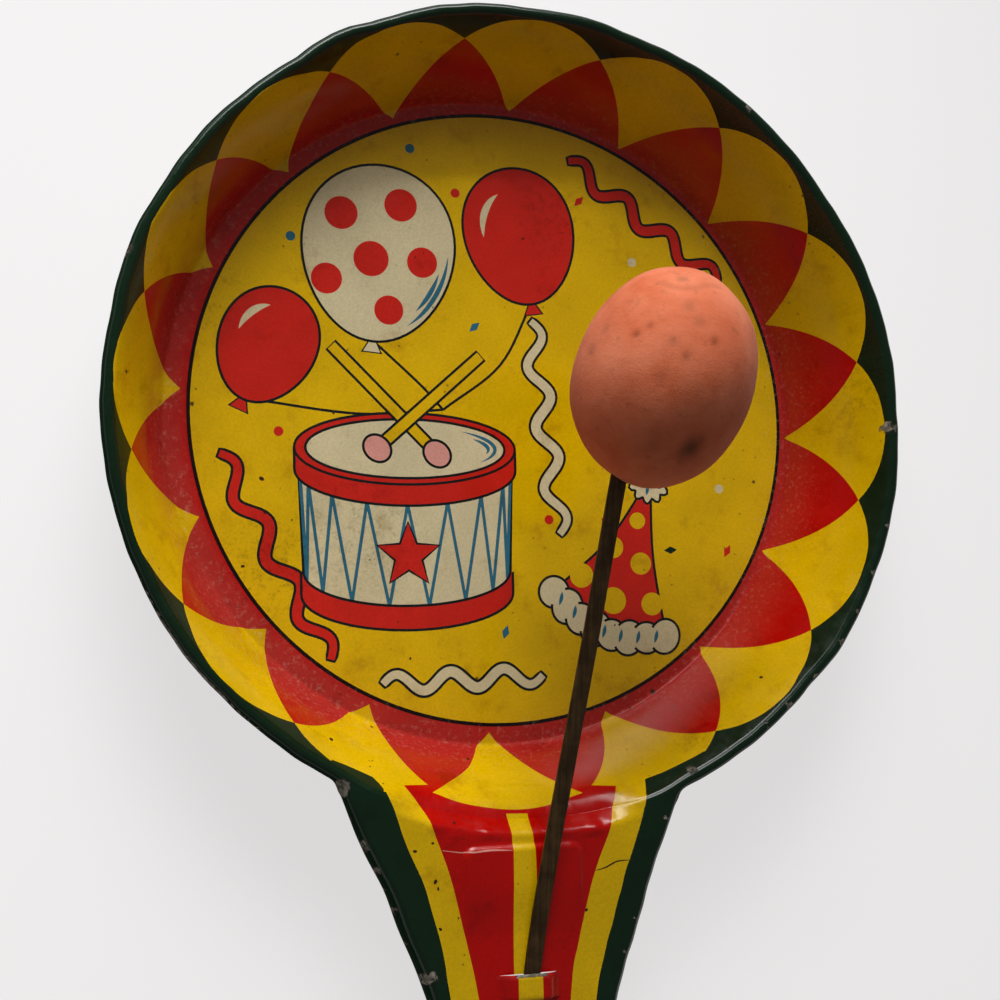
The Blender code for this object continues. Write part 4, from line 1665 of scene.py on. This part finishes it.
    def warp(self, points: Array) -> Array:
        """Dents that handling has left in the rim and in the handle's edges, all of them inwards.

        Args:
            points: The mesh's corners, one row each.

        Returns:
            The corners where the dents move them.
        """
        away = points[:, :2] - self.form.rim_middle
        size = np.maximum(np.hypot(away[:, 0], away[:, 1]), 1e-6)
        angle = np.degrees(np.arctan2(away[:, 1], away[:, 0])) % 360
        turns, depths = np.array(self.dents).T
        dent = np.interp(angle, turns, depths, period=360)
        crumple = 0.03 * np.sin(np.radians(41 * angle)) + 0.02 * np.sin(np.radians(73 * angle + 50)) + 0.05
        on_pan = smoothstep(43.5, 50.2, size) * (1 - smoothstep(0.1, 0.6, size - self.form.pan_radius))
        on_pan *= 1 - (1 - smoothstep(17.0, 23.0, np.abs(points[:, 0] + 1.5))) * (points[:, 1] < 0)
        moved = points.copy()
        moved[:, :2] -= away / size[:, None] * ((dent + crumple) * on_pan)[:, None]
        across = points[:, 0] - self.form.handle_middle(points[:, 1])
        on_handle = (1 - smoothstep(-58.0, -50.0, points[:, 1])) * smoothstep(8.0, 15.0, np.abs(across) * 1.2)
        bent = 0.45 * smoothstep(-84.0, -70.0, points[:, 1]) * (across < 0)
        wave = 0.10 + bent + 0.07 * np.sin(points[:, 1] / 1.9) + 0.04 * np.sin(points[:, 1] / 0.83 + across)
        moved[:, 0] -= np.sign(across) * wave * on_handle
        moved[:, 1] += 0.02 * (1 - smoothstep(-135.0, -130.0, points[:, 1]))
        return moved

    def build(self) -> bpy.types.Object:
        """Puts both faces of the sheet, its rolled edge and its strap together.

        Returns:
            The pan's mesh object.
        """
        form, half = self.form, self.form.sheet / 2
        outline = form.outline()
        outward = normals_of(outline, closed=True)
        roll, _ = form.turned(outline)
        edge = outline - outward * roll[:, None]
        patches = self.patches()
        holes = [self.strap.opening(), self.slot_loop()]
        place, triangles, border = self.plan(edge, holes, patches)
        draft = MeshDraft()
        inks = self.colours(place, triangles, patches)
        height, normal = form.height(place[:, 0], place[:, 1]), form.normal(place[:, 0], place[:, 1])
        height[border], normal[border] = form.level, (0.0, 0.0, 1.0)
        middle = np.column_stack([place, height])
        plain = np.zeros(len(place))
        wear, soil = self.wear_at(middle, plain), self.soil_at(middle)
        # The painted sheen's share, which the finish lays pale specks by.
        scuff = self.painted_sheen_at(place)
        top, under = draft.add_sheet(middle, normal, half, wear=wear, soil=soil, scuff=scuff, rub=plain)
        draft.add_faces(top[triangles], 0, inks)
        draft.add_faces(under[triangles[:, ::-1]], 1)
        self.add_hole_walls(draft, triangles, border, place, top, under)
        self.add_edge(draft, outline, outward, top[border], under[border])
        self.add_strap(draft, patches)
        LOG.info("tin pan: %d triangles in plan, %d areas of ink", len(triangles), len(patches))
        edge_finish = LithographedTinplate("lithographed tinplate, rubbed edge", gloss=0.06, roughness=0.4)
        finishes = [finish.build() for finish in (LithographedTinplate(), RolledTinplate(), edge_finish)]
        return draft.build("printed_tin_pan", finishes, self.warp)

    def slot_loop(self) -> Array:
        """Closed plan loop of the slot for the spring's tail.

        Returns:
            The points, one row each.
        """
        spring = LeafSpring(self.form, self.strap)
        middle = spring.place(-(spring.tail + spring.tail_bend), 0.0)
        wide, thick = spring.width / 2 + spring.clearance, spring.thickness / 2 + spring.clearance
        corners = ((1, -1), (1, 1), (-1, 1), (-1, -1))
        return np.array([middle + spring.across * a * wide + spring.along * b * thick for a, b in corners])

    def add_hole_walls(
        self, draft: MeshDraft, triangles: Array, border: Array, place: Array, top: Array, under: Array
    ) -> None:
        """Adds the cut edges inside the holes, except where the strap goes on from the sheet.

        Args:
            draft: The mesh.
            triangles: The plan's faces.
            border: Numbers of the plan's points on the outer edge.
            place: The plan's points.
            top: Their corners on the printed face.
            under: Their corners on the bare face.
        """
        sides = np.vstack([triangles[:, [0, 1]], triangles[:, [1, 2]], triangles[:, [2, 0]]])
        keyed = {(int(a), int(b)) for a, b in sides}
        rim, strap = set(border.tolist()), self.strap
        quads = []
        for a, b in keyed:
            if (b, a) in keyed or (a in rim and b in rim):
                continue
            ends = place[[a, b]]
            at_strap = np.all(np.abs(np.abs(ends[:, 0] - strap.x) - strap.span / 2) < 1e-4)
            if at_strap and np.all(np.abs(ends[:, 1] - strap.y) < strap.length / 2 + 1e-4):
                continue
            quads.append((top[b], top[a], under[a], under[b]))
        draft.add_faces(np.array(quads), 1, flat=True)

    def add_edge(
        self, draft: MeshDraft, outline: Array, outward: Array, top_ring: Array, under_ring: Array
    ) -> None:
        """Adds the edge that is turned down round the rim and the handle, and its cut end.

        Args:
            draft: The mesh.
            outline: The sheet's outline in plan.
            outward: Its outward normals.
            top_ring: Corners on the printed face where the bend starts.
            under_ring: Corners on the bare face there.
        """
        form, half = self.form, self.form.sheet / 2
        tops, unders = [top_ring], [under_ring]
        green = np.array(linear(Ink.GREEN.value))
        roll, drop = form.turned(outline)
        for step in range(1, self.roll_steps + 1):
            share = step / self.roll_steps
            turn = share * math.pi / 2
            flat = outline - outward * (roll * (1 - math.sin(turn)))[:, None]
            middle = np.column_stack([flat, form.level - drop * (1 - math.cos(turn))])
            out, up = drop * math.sin(turn), roll * math.cos(turn)
            size = np.hypot(out, up)
            normal = np.column_stack([outward * (out / size)[:, None], up / size])
            plain = np.ones(len(flat))
            wear, soil = self.wear_at(middle, plain * share), self.soil_at(middle)
            rub = plain * smoothstep(0.15, 0.6, share)
            top, under = draft.add_sheet(middle, normal, half, wear=wear, soil=soil, scuff=plain * 0, rub=rub)
            tops.append(top)
            unders.append(under)
        draft.add_bands(tops[self.gloss_steps::-1], closed=True, colour=green)
        draft.add_bands(tops[:self.gloss_steps - 1:-1], closed=True, slot=2, colour=green)
        draft.add_bands(unders, closed=True, slot=1)
        draft.add_bands([unders[-1], tops[-1]], closed=True, slot=1, flat=True)

    def add_strap(self, draft: MeshDraft, patches: Sequence[Patch]) -> None:
        """Adds the strap over its opening, with its printed face, its bare lips and its underside.

        Args:
            draft: The mesh.
            patches: The drawn areas of ink.
        """
        strap, half = self.strap, self.form.sheet / 2
        x, y = np.meshgrid(strap.columns(), strap.rows())
        flat = np.stack([x.ravel(), y.ravel()], 1)
        normal = normals_over(strap.height, *flat.T, step=0.004, steepest=2.2)
        middle = np.column_stack([flat, strap.height(*flat.T)])
        ends = (strap.length / 2 - strap.lip, strap.length / 2 - strap.lip * 0.3)
        lip = smoothstep(*ends, flat[:, 1] - strap.y)
        bare = 1 - smoothstep(1.7, 2.6, np.abs(flat[:, 0] - strap.x))
        wear, soil = lip * (0.3 + 0.3 * bare), np.full(len(flat), 0.3)
        top, under = draft.add_sheet(middle, normal, half, wear=wear, soil=soil, scuff=lip * 0, rub=lip)
        top_rows, under_rows = list(top.reshape(x.shape)), list(under.reshape(x.shape))
        for a, b in zip(top_rows, top_rows[1:]):
            quads = np.stack([a[:-1], a[1:], b[1:], b[:-1]], 1)
            draft.add_faces(quads, 0, self.colours(flat, quads - top[0], patches))
        draft.add_bands(under_rows[::-1], closed=False, slot=1)
        draft.add_bands([under_rows[0], top_rows[0]], closed=False, slot=1, flat=True)
        red = np.array(linear(Ink.RED.value))
        draft.add_bands([top_rows[-1], under_rows[-1]], closed=False, colour=red, flat=True)


@dataclass(frozen=True)
class LeafSpring:
    """The strip of spring steel from its clinched tail under the handle to its end inside the ball."""

    form: PressedForm
    strap: Strap
    width: float = 2.0
    thickness: float = 0.4
    clearance: float = 0.3
    lean: float = 8.8
    rise: float = 11.1
    ease: float = 9.1
    tail: float = 8.5
    clinch: float = 3.0
    ball_reach: float = 71.3
    ball_mouth: float = 10.34
    ball_grip: float = 10.0
    bend_start: float = 1.4
    bend_end: float = 19.6
    tail_steps: int = 24
    corner: float = 0.09
    sway: float = 0.05

    @property
    def level(self) -> float:
        """Height of the strip's middle under the strap."""
        return self.form.level + self.form.sheet / 2 + self.clearance + self.thickness / 2

    @property
    def clinch_level(self) -> float:
        """Height of the clinched tail's middle under the handle."""
        return self.form.level - self.form.sheet / 2 - self.clearance - self.thickness / 2

    @property
    def tail_bend(self) -> float:
        """Radius of the tail's bend through its slot."""
        return (self.level - self.clinch_level) / 2

    @property
    def along(self) -> Array:
        """Unit plan direction from the strap to the ball."""
        return np.array([math.sin(math.radians(self.lean)), math.cos(math.radians(self.lean))])

    @property
    def across(self) -> Array:
        """Unit plan direction to the right of the strip."""
        return np.array([self.along[1], -self.along[0]])

    def place(self, reach: float, aside: float) -> Array:
        """Plan point at a distance along and to the right of the strip."""
        return np.array([self.strap.x, self.strap.y]) + self.along * reach + self.across * aside

    def height(self, reach: float) -> float:
        """Height of the strip's middle at a distance from the strap's middle.

        Args:
            reach: The distance along the strip in plan.

        Returns:
            The height.
        """
        slope = math.tan(math.radians(self.rise))
        free = reach - self.strap.length / 2
        if free <= 0:
            return self.level
        if free < self.ease:
            return self.level + slope * free * free / (2 * self.ease)
        return self.level + slope * (free - self.ease / 2)

    def point(self, reach: float) -> Array:
        """Point of the strip's middle line."""
        return np.append(self.place(reach, 0.0), self.height(reach))

    def path(self) -> tuple[Array, Array]:
        """The strip's middle line and the directions that its upper face looks in, tail first.

        Returns:
            The points and the directions, one row each.
        """
        rows = [(-self.tail + self.clinch, self.clinch_level)]
        faces = [(0.0, -1.0)]
        for turn in np.linspace(math.pi * 1.5, math.pi * 0.5, self.tail_steps + 1):
            rows.append((-self.tail + self.tail_bend * math.cos(turn),
                         self.clinch_level + self.tail_bend * (1 + math.sin(turn))))
            faces.append((math.cos(turn), math.sin(turn)))
        tip = self.ball_reach - self.ball_mouth + self.ball_grip
        for reach in np.linspace(-self.tail + 1.0, tip, 90):
            slope = (self.height(reach + 0.01) - self.height(reach - 0.01)) / 0.02
            rows.append((reach, self.height(reach)))
            faces.append((-slope / math.hypot(1, slope), 1 / math.hypot(1, slope)))
        line = np.array([np.append(self.place(reach, 0.0), level) for reach, level in rows])
        look = np.array([np.append(self.along * f[0], f[1]) for f in faces])
        return line, look

    def build(self) -> bpy.types.Object:
        """Sweeps the strip's section, with its rounded edges, along its path.

        Returns:
            The spring's mesh object.
        """
        line, look = self.path()
        side = np.append(self.across, 0.0)
        inner = np.array([self.width / 2, self.thickness / 2]) - self.corner
        quarter, step = np.divmod(np.arange(16), 4)
        bends = around((quarter + step / 3) * math.pi / 2)
        section = np.array([(1, 1), (-1, 1), (-1, -1), (1, -1)])[quarter] * inner + self.corner * bends
        draft = MeshDraft()
        rows = []
        for here, up in zip(line, look):
            sway = self.sway * math.sin(here[1] / 6.1 + 0.4)
            points = np.array([here + side * (a + sway) + up * b for a, b in section])
            normals = np.array([side * a + up * b for a, b in bends])
            rows.append(draft.add_points(points, normals))
        draft.add_bands(rows[::-1], closed=True)
        for ring, points in ((rows[0], draft.points[0]), (rows[-1][::-1], draft.points[-1])):
            centre = draft.add_points(points.mean(0)[None], np.array([[0.0, 0.0, 1.0]]))
            fan = np.stack([np.full(len(ring), centre[0]), ring, np.roll(ring, -1)], 1)
            draft.add_faces(fan, flat=True)
        return draft.build("steel_leaf_spring", [BrownedSpringSteel().build()])


@dataclass(frozen=True)
class PulpBall:
    """The ball on the spring's end, a little longer than wide, lumpy and pitted as pressed pulp is."""

    spring: LeafSpring
    offset: float = 3.1
    radius: float = 10.8
    half_length: float = 13.2
    turn: float = 9.0
    rows: int = 180
    columns: int = 240
    pits: Rows = (
        (-0.67, 0.20, 0.72, 0.42, 0.5), (-0.57, 0.31, 0.76, 0.42, 0.35), (-0.32, 0.23, 0.92, 0.55, 0.25),
        (0.11, 0.35, 0.93, 0.50, 0.4), (-0.15, 0.14, 0.98, 0.55, 0.35), (-0.31, 0.82, 0.48, 0.60, 0.35),
        (-0.23, 0.58, 0.78, 0.80, 0.28), (-0.96, -0.01, 0.27, 0.90, 0.25), (-0.33, -0.10, 0.94, 0.80, 0.2),
        (-0.12, -0.64, 0.76, 1.00, 0.25), (-0.91, 0.19, 0.36, 0.70, 0.2), (-0.11, 0.48, 0.87, 0.80, 0.22),
        (0.30, -0.56, 0.77, 1.30, 0.78), (0.26, -0.60, 0.76, 1.00, 0.6), (0.35, -0.51, 0.79, 1.00, 0.5),
    )
    seam: Rows = (
        (-0.51, 0.73, 0.46), (-0.42, 0.71, 0.56), (-0.30, 0.73, 0.61), (-0.16, 0.78, 0.61),
        (-0.02, 0.84, 0.54), (0.16, 0.88, 0.45),
    )
    seam_width: float = 0.5
    seam_depth: float = 0.55
    # How dark the painted shade along the crease is.
    seam_painted_shade: float = 0.12
    pit_depth: float = 0.22
    skin: float = 0.22
    # Strength of the painted shade on the side of the ball turned from the lamp.
    grime_and_shade: float = 0.36

    def middle(self) -> Array:
        """The ball's middle."""
        reach = self.spring.ball_reach
        return np.append(self.spring.place(reach, self.offset), self.spring.height(reach))

    def axes(self) -> Array:
        """The ball's own axes as rows: right, along its length, and out of its top."""
        lean = math.radians(self.spring.lean + self.turn)
        turned = Matrix.Rotation(-lean, 3, "Z") @ Matrix.Rotation(math.radians(self.spring.rise), 3, "X")
        return np.array(turned).T

    def pitted(self, unit: Array) -> Array:
        """How deep in a pit, from zero to one, the skin is at unit directions.

        Args:
            unit: Unit directions from the ball's middle.

        Returns:
            The depths, from zero to one.
        """
        found = np.zeros(len(unit))
        for *way, size, strength in self.pits:
            away = np.linalg.norm(unit - np.array(way) / np.linalg.norm(way), axis=1) * self.radius
            found = np.maximum(found, strength * np.exp(-((away / size) ** 2)))
        return found

    def creased(self, unit: Array) -> Array:
        """How deep in the short crease near the far end, where the pulp was folded over, the skin is.

        Args:
            unit: Unit directions from the ball's middle.

        Returns:
            The depths, from zero to one.
        """
        line = smooth_curve(self.seam)
        line = line / np.linalg.norm(line, axis=1, keepdims=True)
        away = np.min(np.linalg.norm(unit[:, None] - line[None], axis=2), axis=1) * self.radius
        return np.exp(-((away / self.seam_width) ** 2))

    def build(self) -> bpy.types.Object:
        """Turns the ovoid, then presses its lumps and pits into it.

        Returns:
            The ball's mesh object.
        """
        turns = np.linspace(0, 2 * math.pi, self.columns, endpoint=False)
        tilts = np.linspace(0, math.pi, self.rows + 1)
        tilt, turn = np.meshgrid(tilts, turns, indexing="ij")
        ring = np.sin(tilt)
        unit = np.stack([ring * np.cos(turn), -np.cos(tilt), ring * np.sin(turn)], -1).reshape(-1, 3)
        lumps = (
            0.16 * np.sin(2.1 * unit[:, 0] + 1.3 * unit[:, 1] + 0.4) * np.cos(1.7 * unit[:, 2] + 0.9)
            + 0.10 * np.sin(4.3 * unit[:, 1] - 2.9 * unit[:, 0] + 1.1)
            + 0.06 * np.sin(7.1 * unit[:, 2] + 5.3 * unit[:, 0]) * np.cos(6.2 * unit[:, 1])
        )
        pit, crease = self.pitted(unit), self.creased(unit)
        lumps -= self.pit_depth * (pit + self.seam_depth * crease)
        local = unit * (np.array([self.radius, self.half_length, self.radius]) - self.skin + lumps[:, None])
        axes = self.axes()
        points = self.middle() + local @ axes
        grid = points.reshape(self.rows + 1, self.columns, 3)
        along = np.gradient(grid, axis=0)
        around = np.roll(grid, -1, 1) - np.roll(grid, 1, 1)
        normal = np.cross(around, along).reshape(-1, 3)
        size = np.linalg.norm(normal, axis=1, keepdims=True)
        outward = unit @ axes
        normal = np.where(size > 1e-9, normal / np.maximum(size, 1e-12), outward)
        normal *= np.sign(np.sum(normal * outward, axis=1, keepdims=True))
        draft = MeshDraft()
        # Painted shade: the paint is darkened towards the spring and underneath, on the side turned from the
        # lamp, and less again on the far underside.
        low = -0.8 * unit[:, 1] - 0.25 * unit[:, 2] + 0.2 * unit[:, 0]
        soil = self.grime_and_shade * smoothstep(-0.45, 0.25, low) * (1 - 0.6 * smoothstep(0.35, 0.8, low))
        # Darker in the pits; along the crease the darkening is painted shade.
        numbers = draft.add_points(points, normal, pit=np.maximum(pit, self.seam_painted_shade * crease), soil=soil)
        rows = list(numbers.reshape(self.rows + 1, self.columns))
        draft.add_bands(rows[::-1], closed=True)
        return draft.build("pulp_ball", [PaintedPulp().build()])


@dataclass(frozen=True)
class Softbox:
    """A soft oblong lamp with a louvre, in millimetres, degrees and watts."""

    name: str
    place: Triple
    aim: Triple
    size: Pair
    spread: float
    power: float

    def build(self) -> bpy.types.Object:
        """Hangs the lamp out of the picture.

        Returns:
            The lamp's object.
        """
        light = bpy.data.lights.new(self.name, "AREA")
        light.shape = "RECTANGLE"
        light.size, light.size_y = (side * MM for side in self.size)
        light.spread = math.radians(self.spread)
        light.energy = self.power
        lamp = bpy.data.objects.new(self.name, light)
        lamp.location = Vector(self.place) * MM
        lamp.rotation_euler = (Vector(self.place) - Vector(self.aim)).to_track_quat("Z", "Y").to_euler()
        lamp.visible_camera = False
        bpy.context.scene.collection.objects.link(lamp)
        return lamp


@dataclass(frozen=True)
class Studio:
    """The pale floor, the soft lamps and the camera, in millimetres."""

    floor_colour: str = "#FCFBFB"
    floor_radius: float = 3000.0
    camera_place: Triple = (-58.54, -31.07, 196.38)
    camera_right: Triple = (0.95732, -0.0246, 0.28797)
    camera_up: Triple = (-0.00523, 0.99473, 0.10237)
    lens: float = 57.6
    sensor: float = 36.0
    floor_glow: float = 0.66
    glow_colour: tuple[float, ...] = (1.0, 0.985, 0.985, 1.0)
    lamps: tuple[Softbox, ...] = (
        Softbox("softbox", (-42.0, 246.0, 168.0), (-48.0, -120.0, 8.0), (240.0, 180.0), 72.0, 0.205),
        Softbox("strip softbox", (-41.5, 243.0, 166.0), (-20.0, -20.0, 8.0), (300.0, 8.0), 72.0, 0.05),
    )
    room_light: float = 0.14

    def build_floor(self) -> bpy.types.Object:
        """Makes the floor that the pan rests on: pale paper that keeps the object's shadow.

        Returns:
            The floor's mesh object.
        """
        reach = self.floor_radius * MM
        ring = ellipse((0.0, 0.0), reach, reach, steps=96)
        mesh = bpy.data.meshes.new("floor")
        mesh.from_pydata([(x, y, 0.0) for x, y in ring.tolist()], [], [list(range(len(ring)))])
        floor = bpy.data.objects.new("floor", mesh)
        bpy.context.scene.collection.objects.link(floor)
        material = bpy.data.materials.new("pale paper, uncoated")
        material.use_nodes = True
        tree = material.node_tree
        add = partial(add_node, tree)
        paper = tree.nodes["Principled BSDF"]
        plug(paper, {"Base Color": linear(self.floor_colour), "Roughness": 1.0, "Specular IOR Level": 0.0})
        glow = add("Emission", {"Color": self.glow_colour, "Strength": 1.0})
        rays = add("LightPath").node.outputs
        seen = add("Math", (rays["Is Camera Ray"], rays["Is Glossy Ray"]), operation="MAXIMUM")
        seen = add("Math", (seen, rays["Is Transmission Ray"]), operation="MAXIMUM")
        share = add("Math", (seen, self.floor_glow), operation="MULTIPLY")
        mixed = add("MixShader", (share, paper.outputs[0], glow))
        plug(tree.nodes["Material Output"], {"Surface": mixed})
        mesh.materials.append(material)
        return floor

    def build_world(self) -> None:
        """Lights the scene evenly from a plain room."""
        world = bpy.data.worlds.new("studio room")
        world.use_nodes = True
        bpy.context.scene.world = world
        background = world.node_tree.nodes["Background"]
        background.inputs["Color"].default_value = (1.0, 1.0, 1.0, 1.0)
        background.inputs["Strength"].default_value = self.room_light

    def build_camera(self) -> bpy.types.Object:
        """Makes the camera where the photograph was taken from.

        Returns:
            The camera's object.
        """
        camera = bpy.data.cameras.new("camera")
        camera.lens = self.lens
        camera.sensor_width = self.sensor
        camera.clip_start = 0.01
        eye = bpy.data.objects.new("camera", camera)
        right, up = Vector(self.camera_right), Vector(self.camera_up)
        back = right.cross(up)
        turned = Matrix((right, up, back)).transposed().to_4x4()
        eye.matrix_world = Matrix.Translation(Vector(self.camera_place) * MM) @ turned
        bpy.context.scene.collection.objects.link(eye)
        bpy.context.scene.camera = eye
        return eye

    def build(self) -> None:
        """Sets the whole studio up."""
        bpy.context.scene.view_settings.view_transform = "Standard"
        self.build_floor()
        self.build_world()
        self.build_camera()
        for lamp in self.lamps:
            lamp.build()


def main() -> None:
    """Loads the frame, builds every piece in order, and puts the pan and the ball on the bodies that carry
    them.
    """
    logging.basicConfig(level=logging.INFO, format="%(message)s")
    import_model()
    Studio().build()
    form = PressedForm()
    border = PetalBorder(form)
    strap = Strap(form)
    pan = TinPan(form, border, HandlePrint(), PartyPrint(border), strap).build()
    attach(pan, "pan")
    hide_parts("tin_pan")
    spring = LeafSpring(form, strap)
    strip = spring.build()
    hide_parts("leaf_spring")
    bend = [tuple(spring.point(reach) * MM) for reach in (spring.bend_start, spring.bend_end)]
    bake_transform(strip)
    LOG.info("leaf spring: %d faces", len(strip.data.polygons))
    ball = PulpBall(spring).build()
    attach(ball, "clapper")
    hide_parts("clapper_ball")
    LOG.info("ball: %d faces", len(ball.data.polygons))


if __name__ == "__main__":
    main()
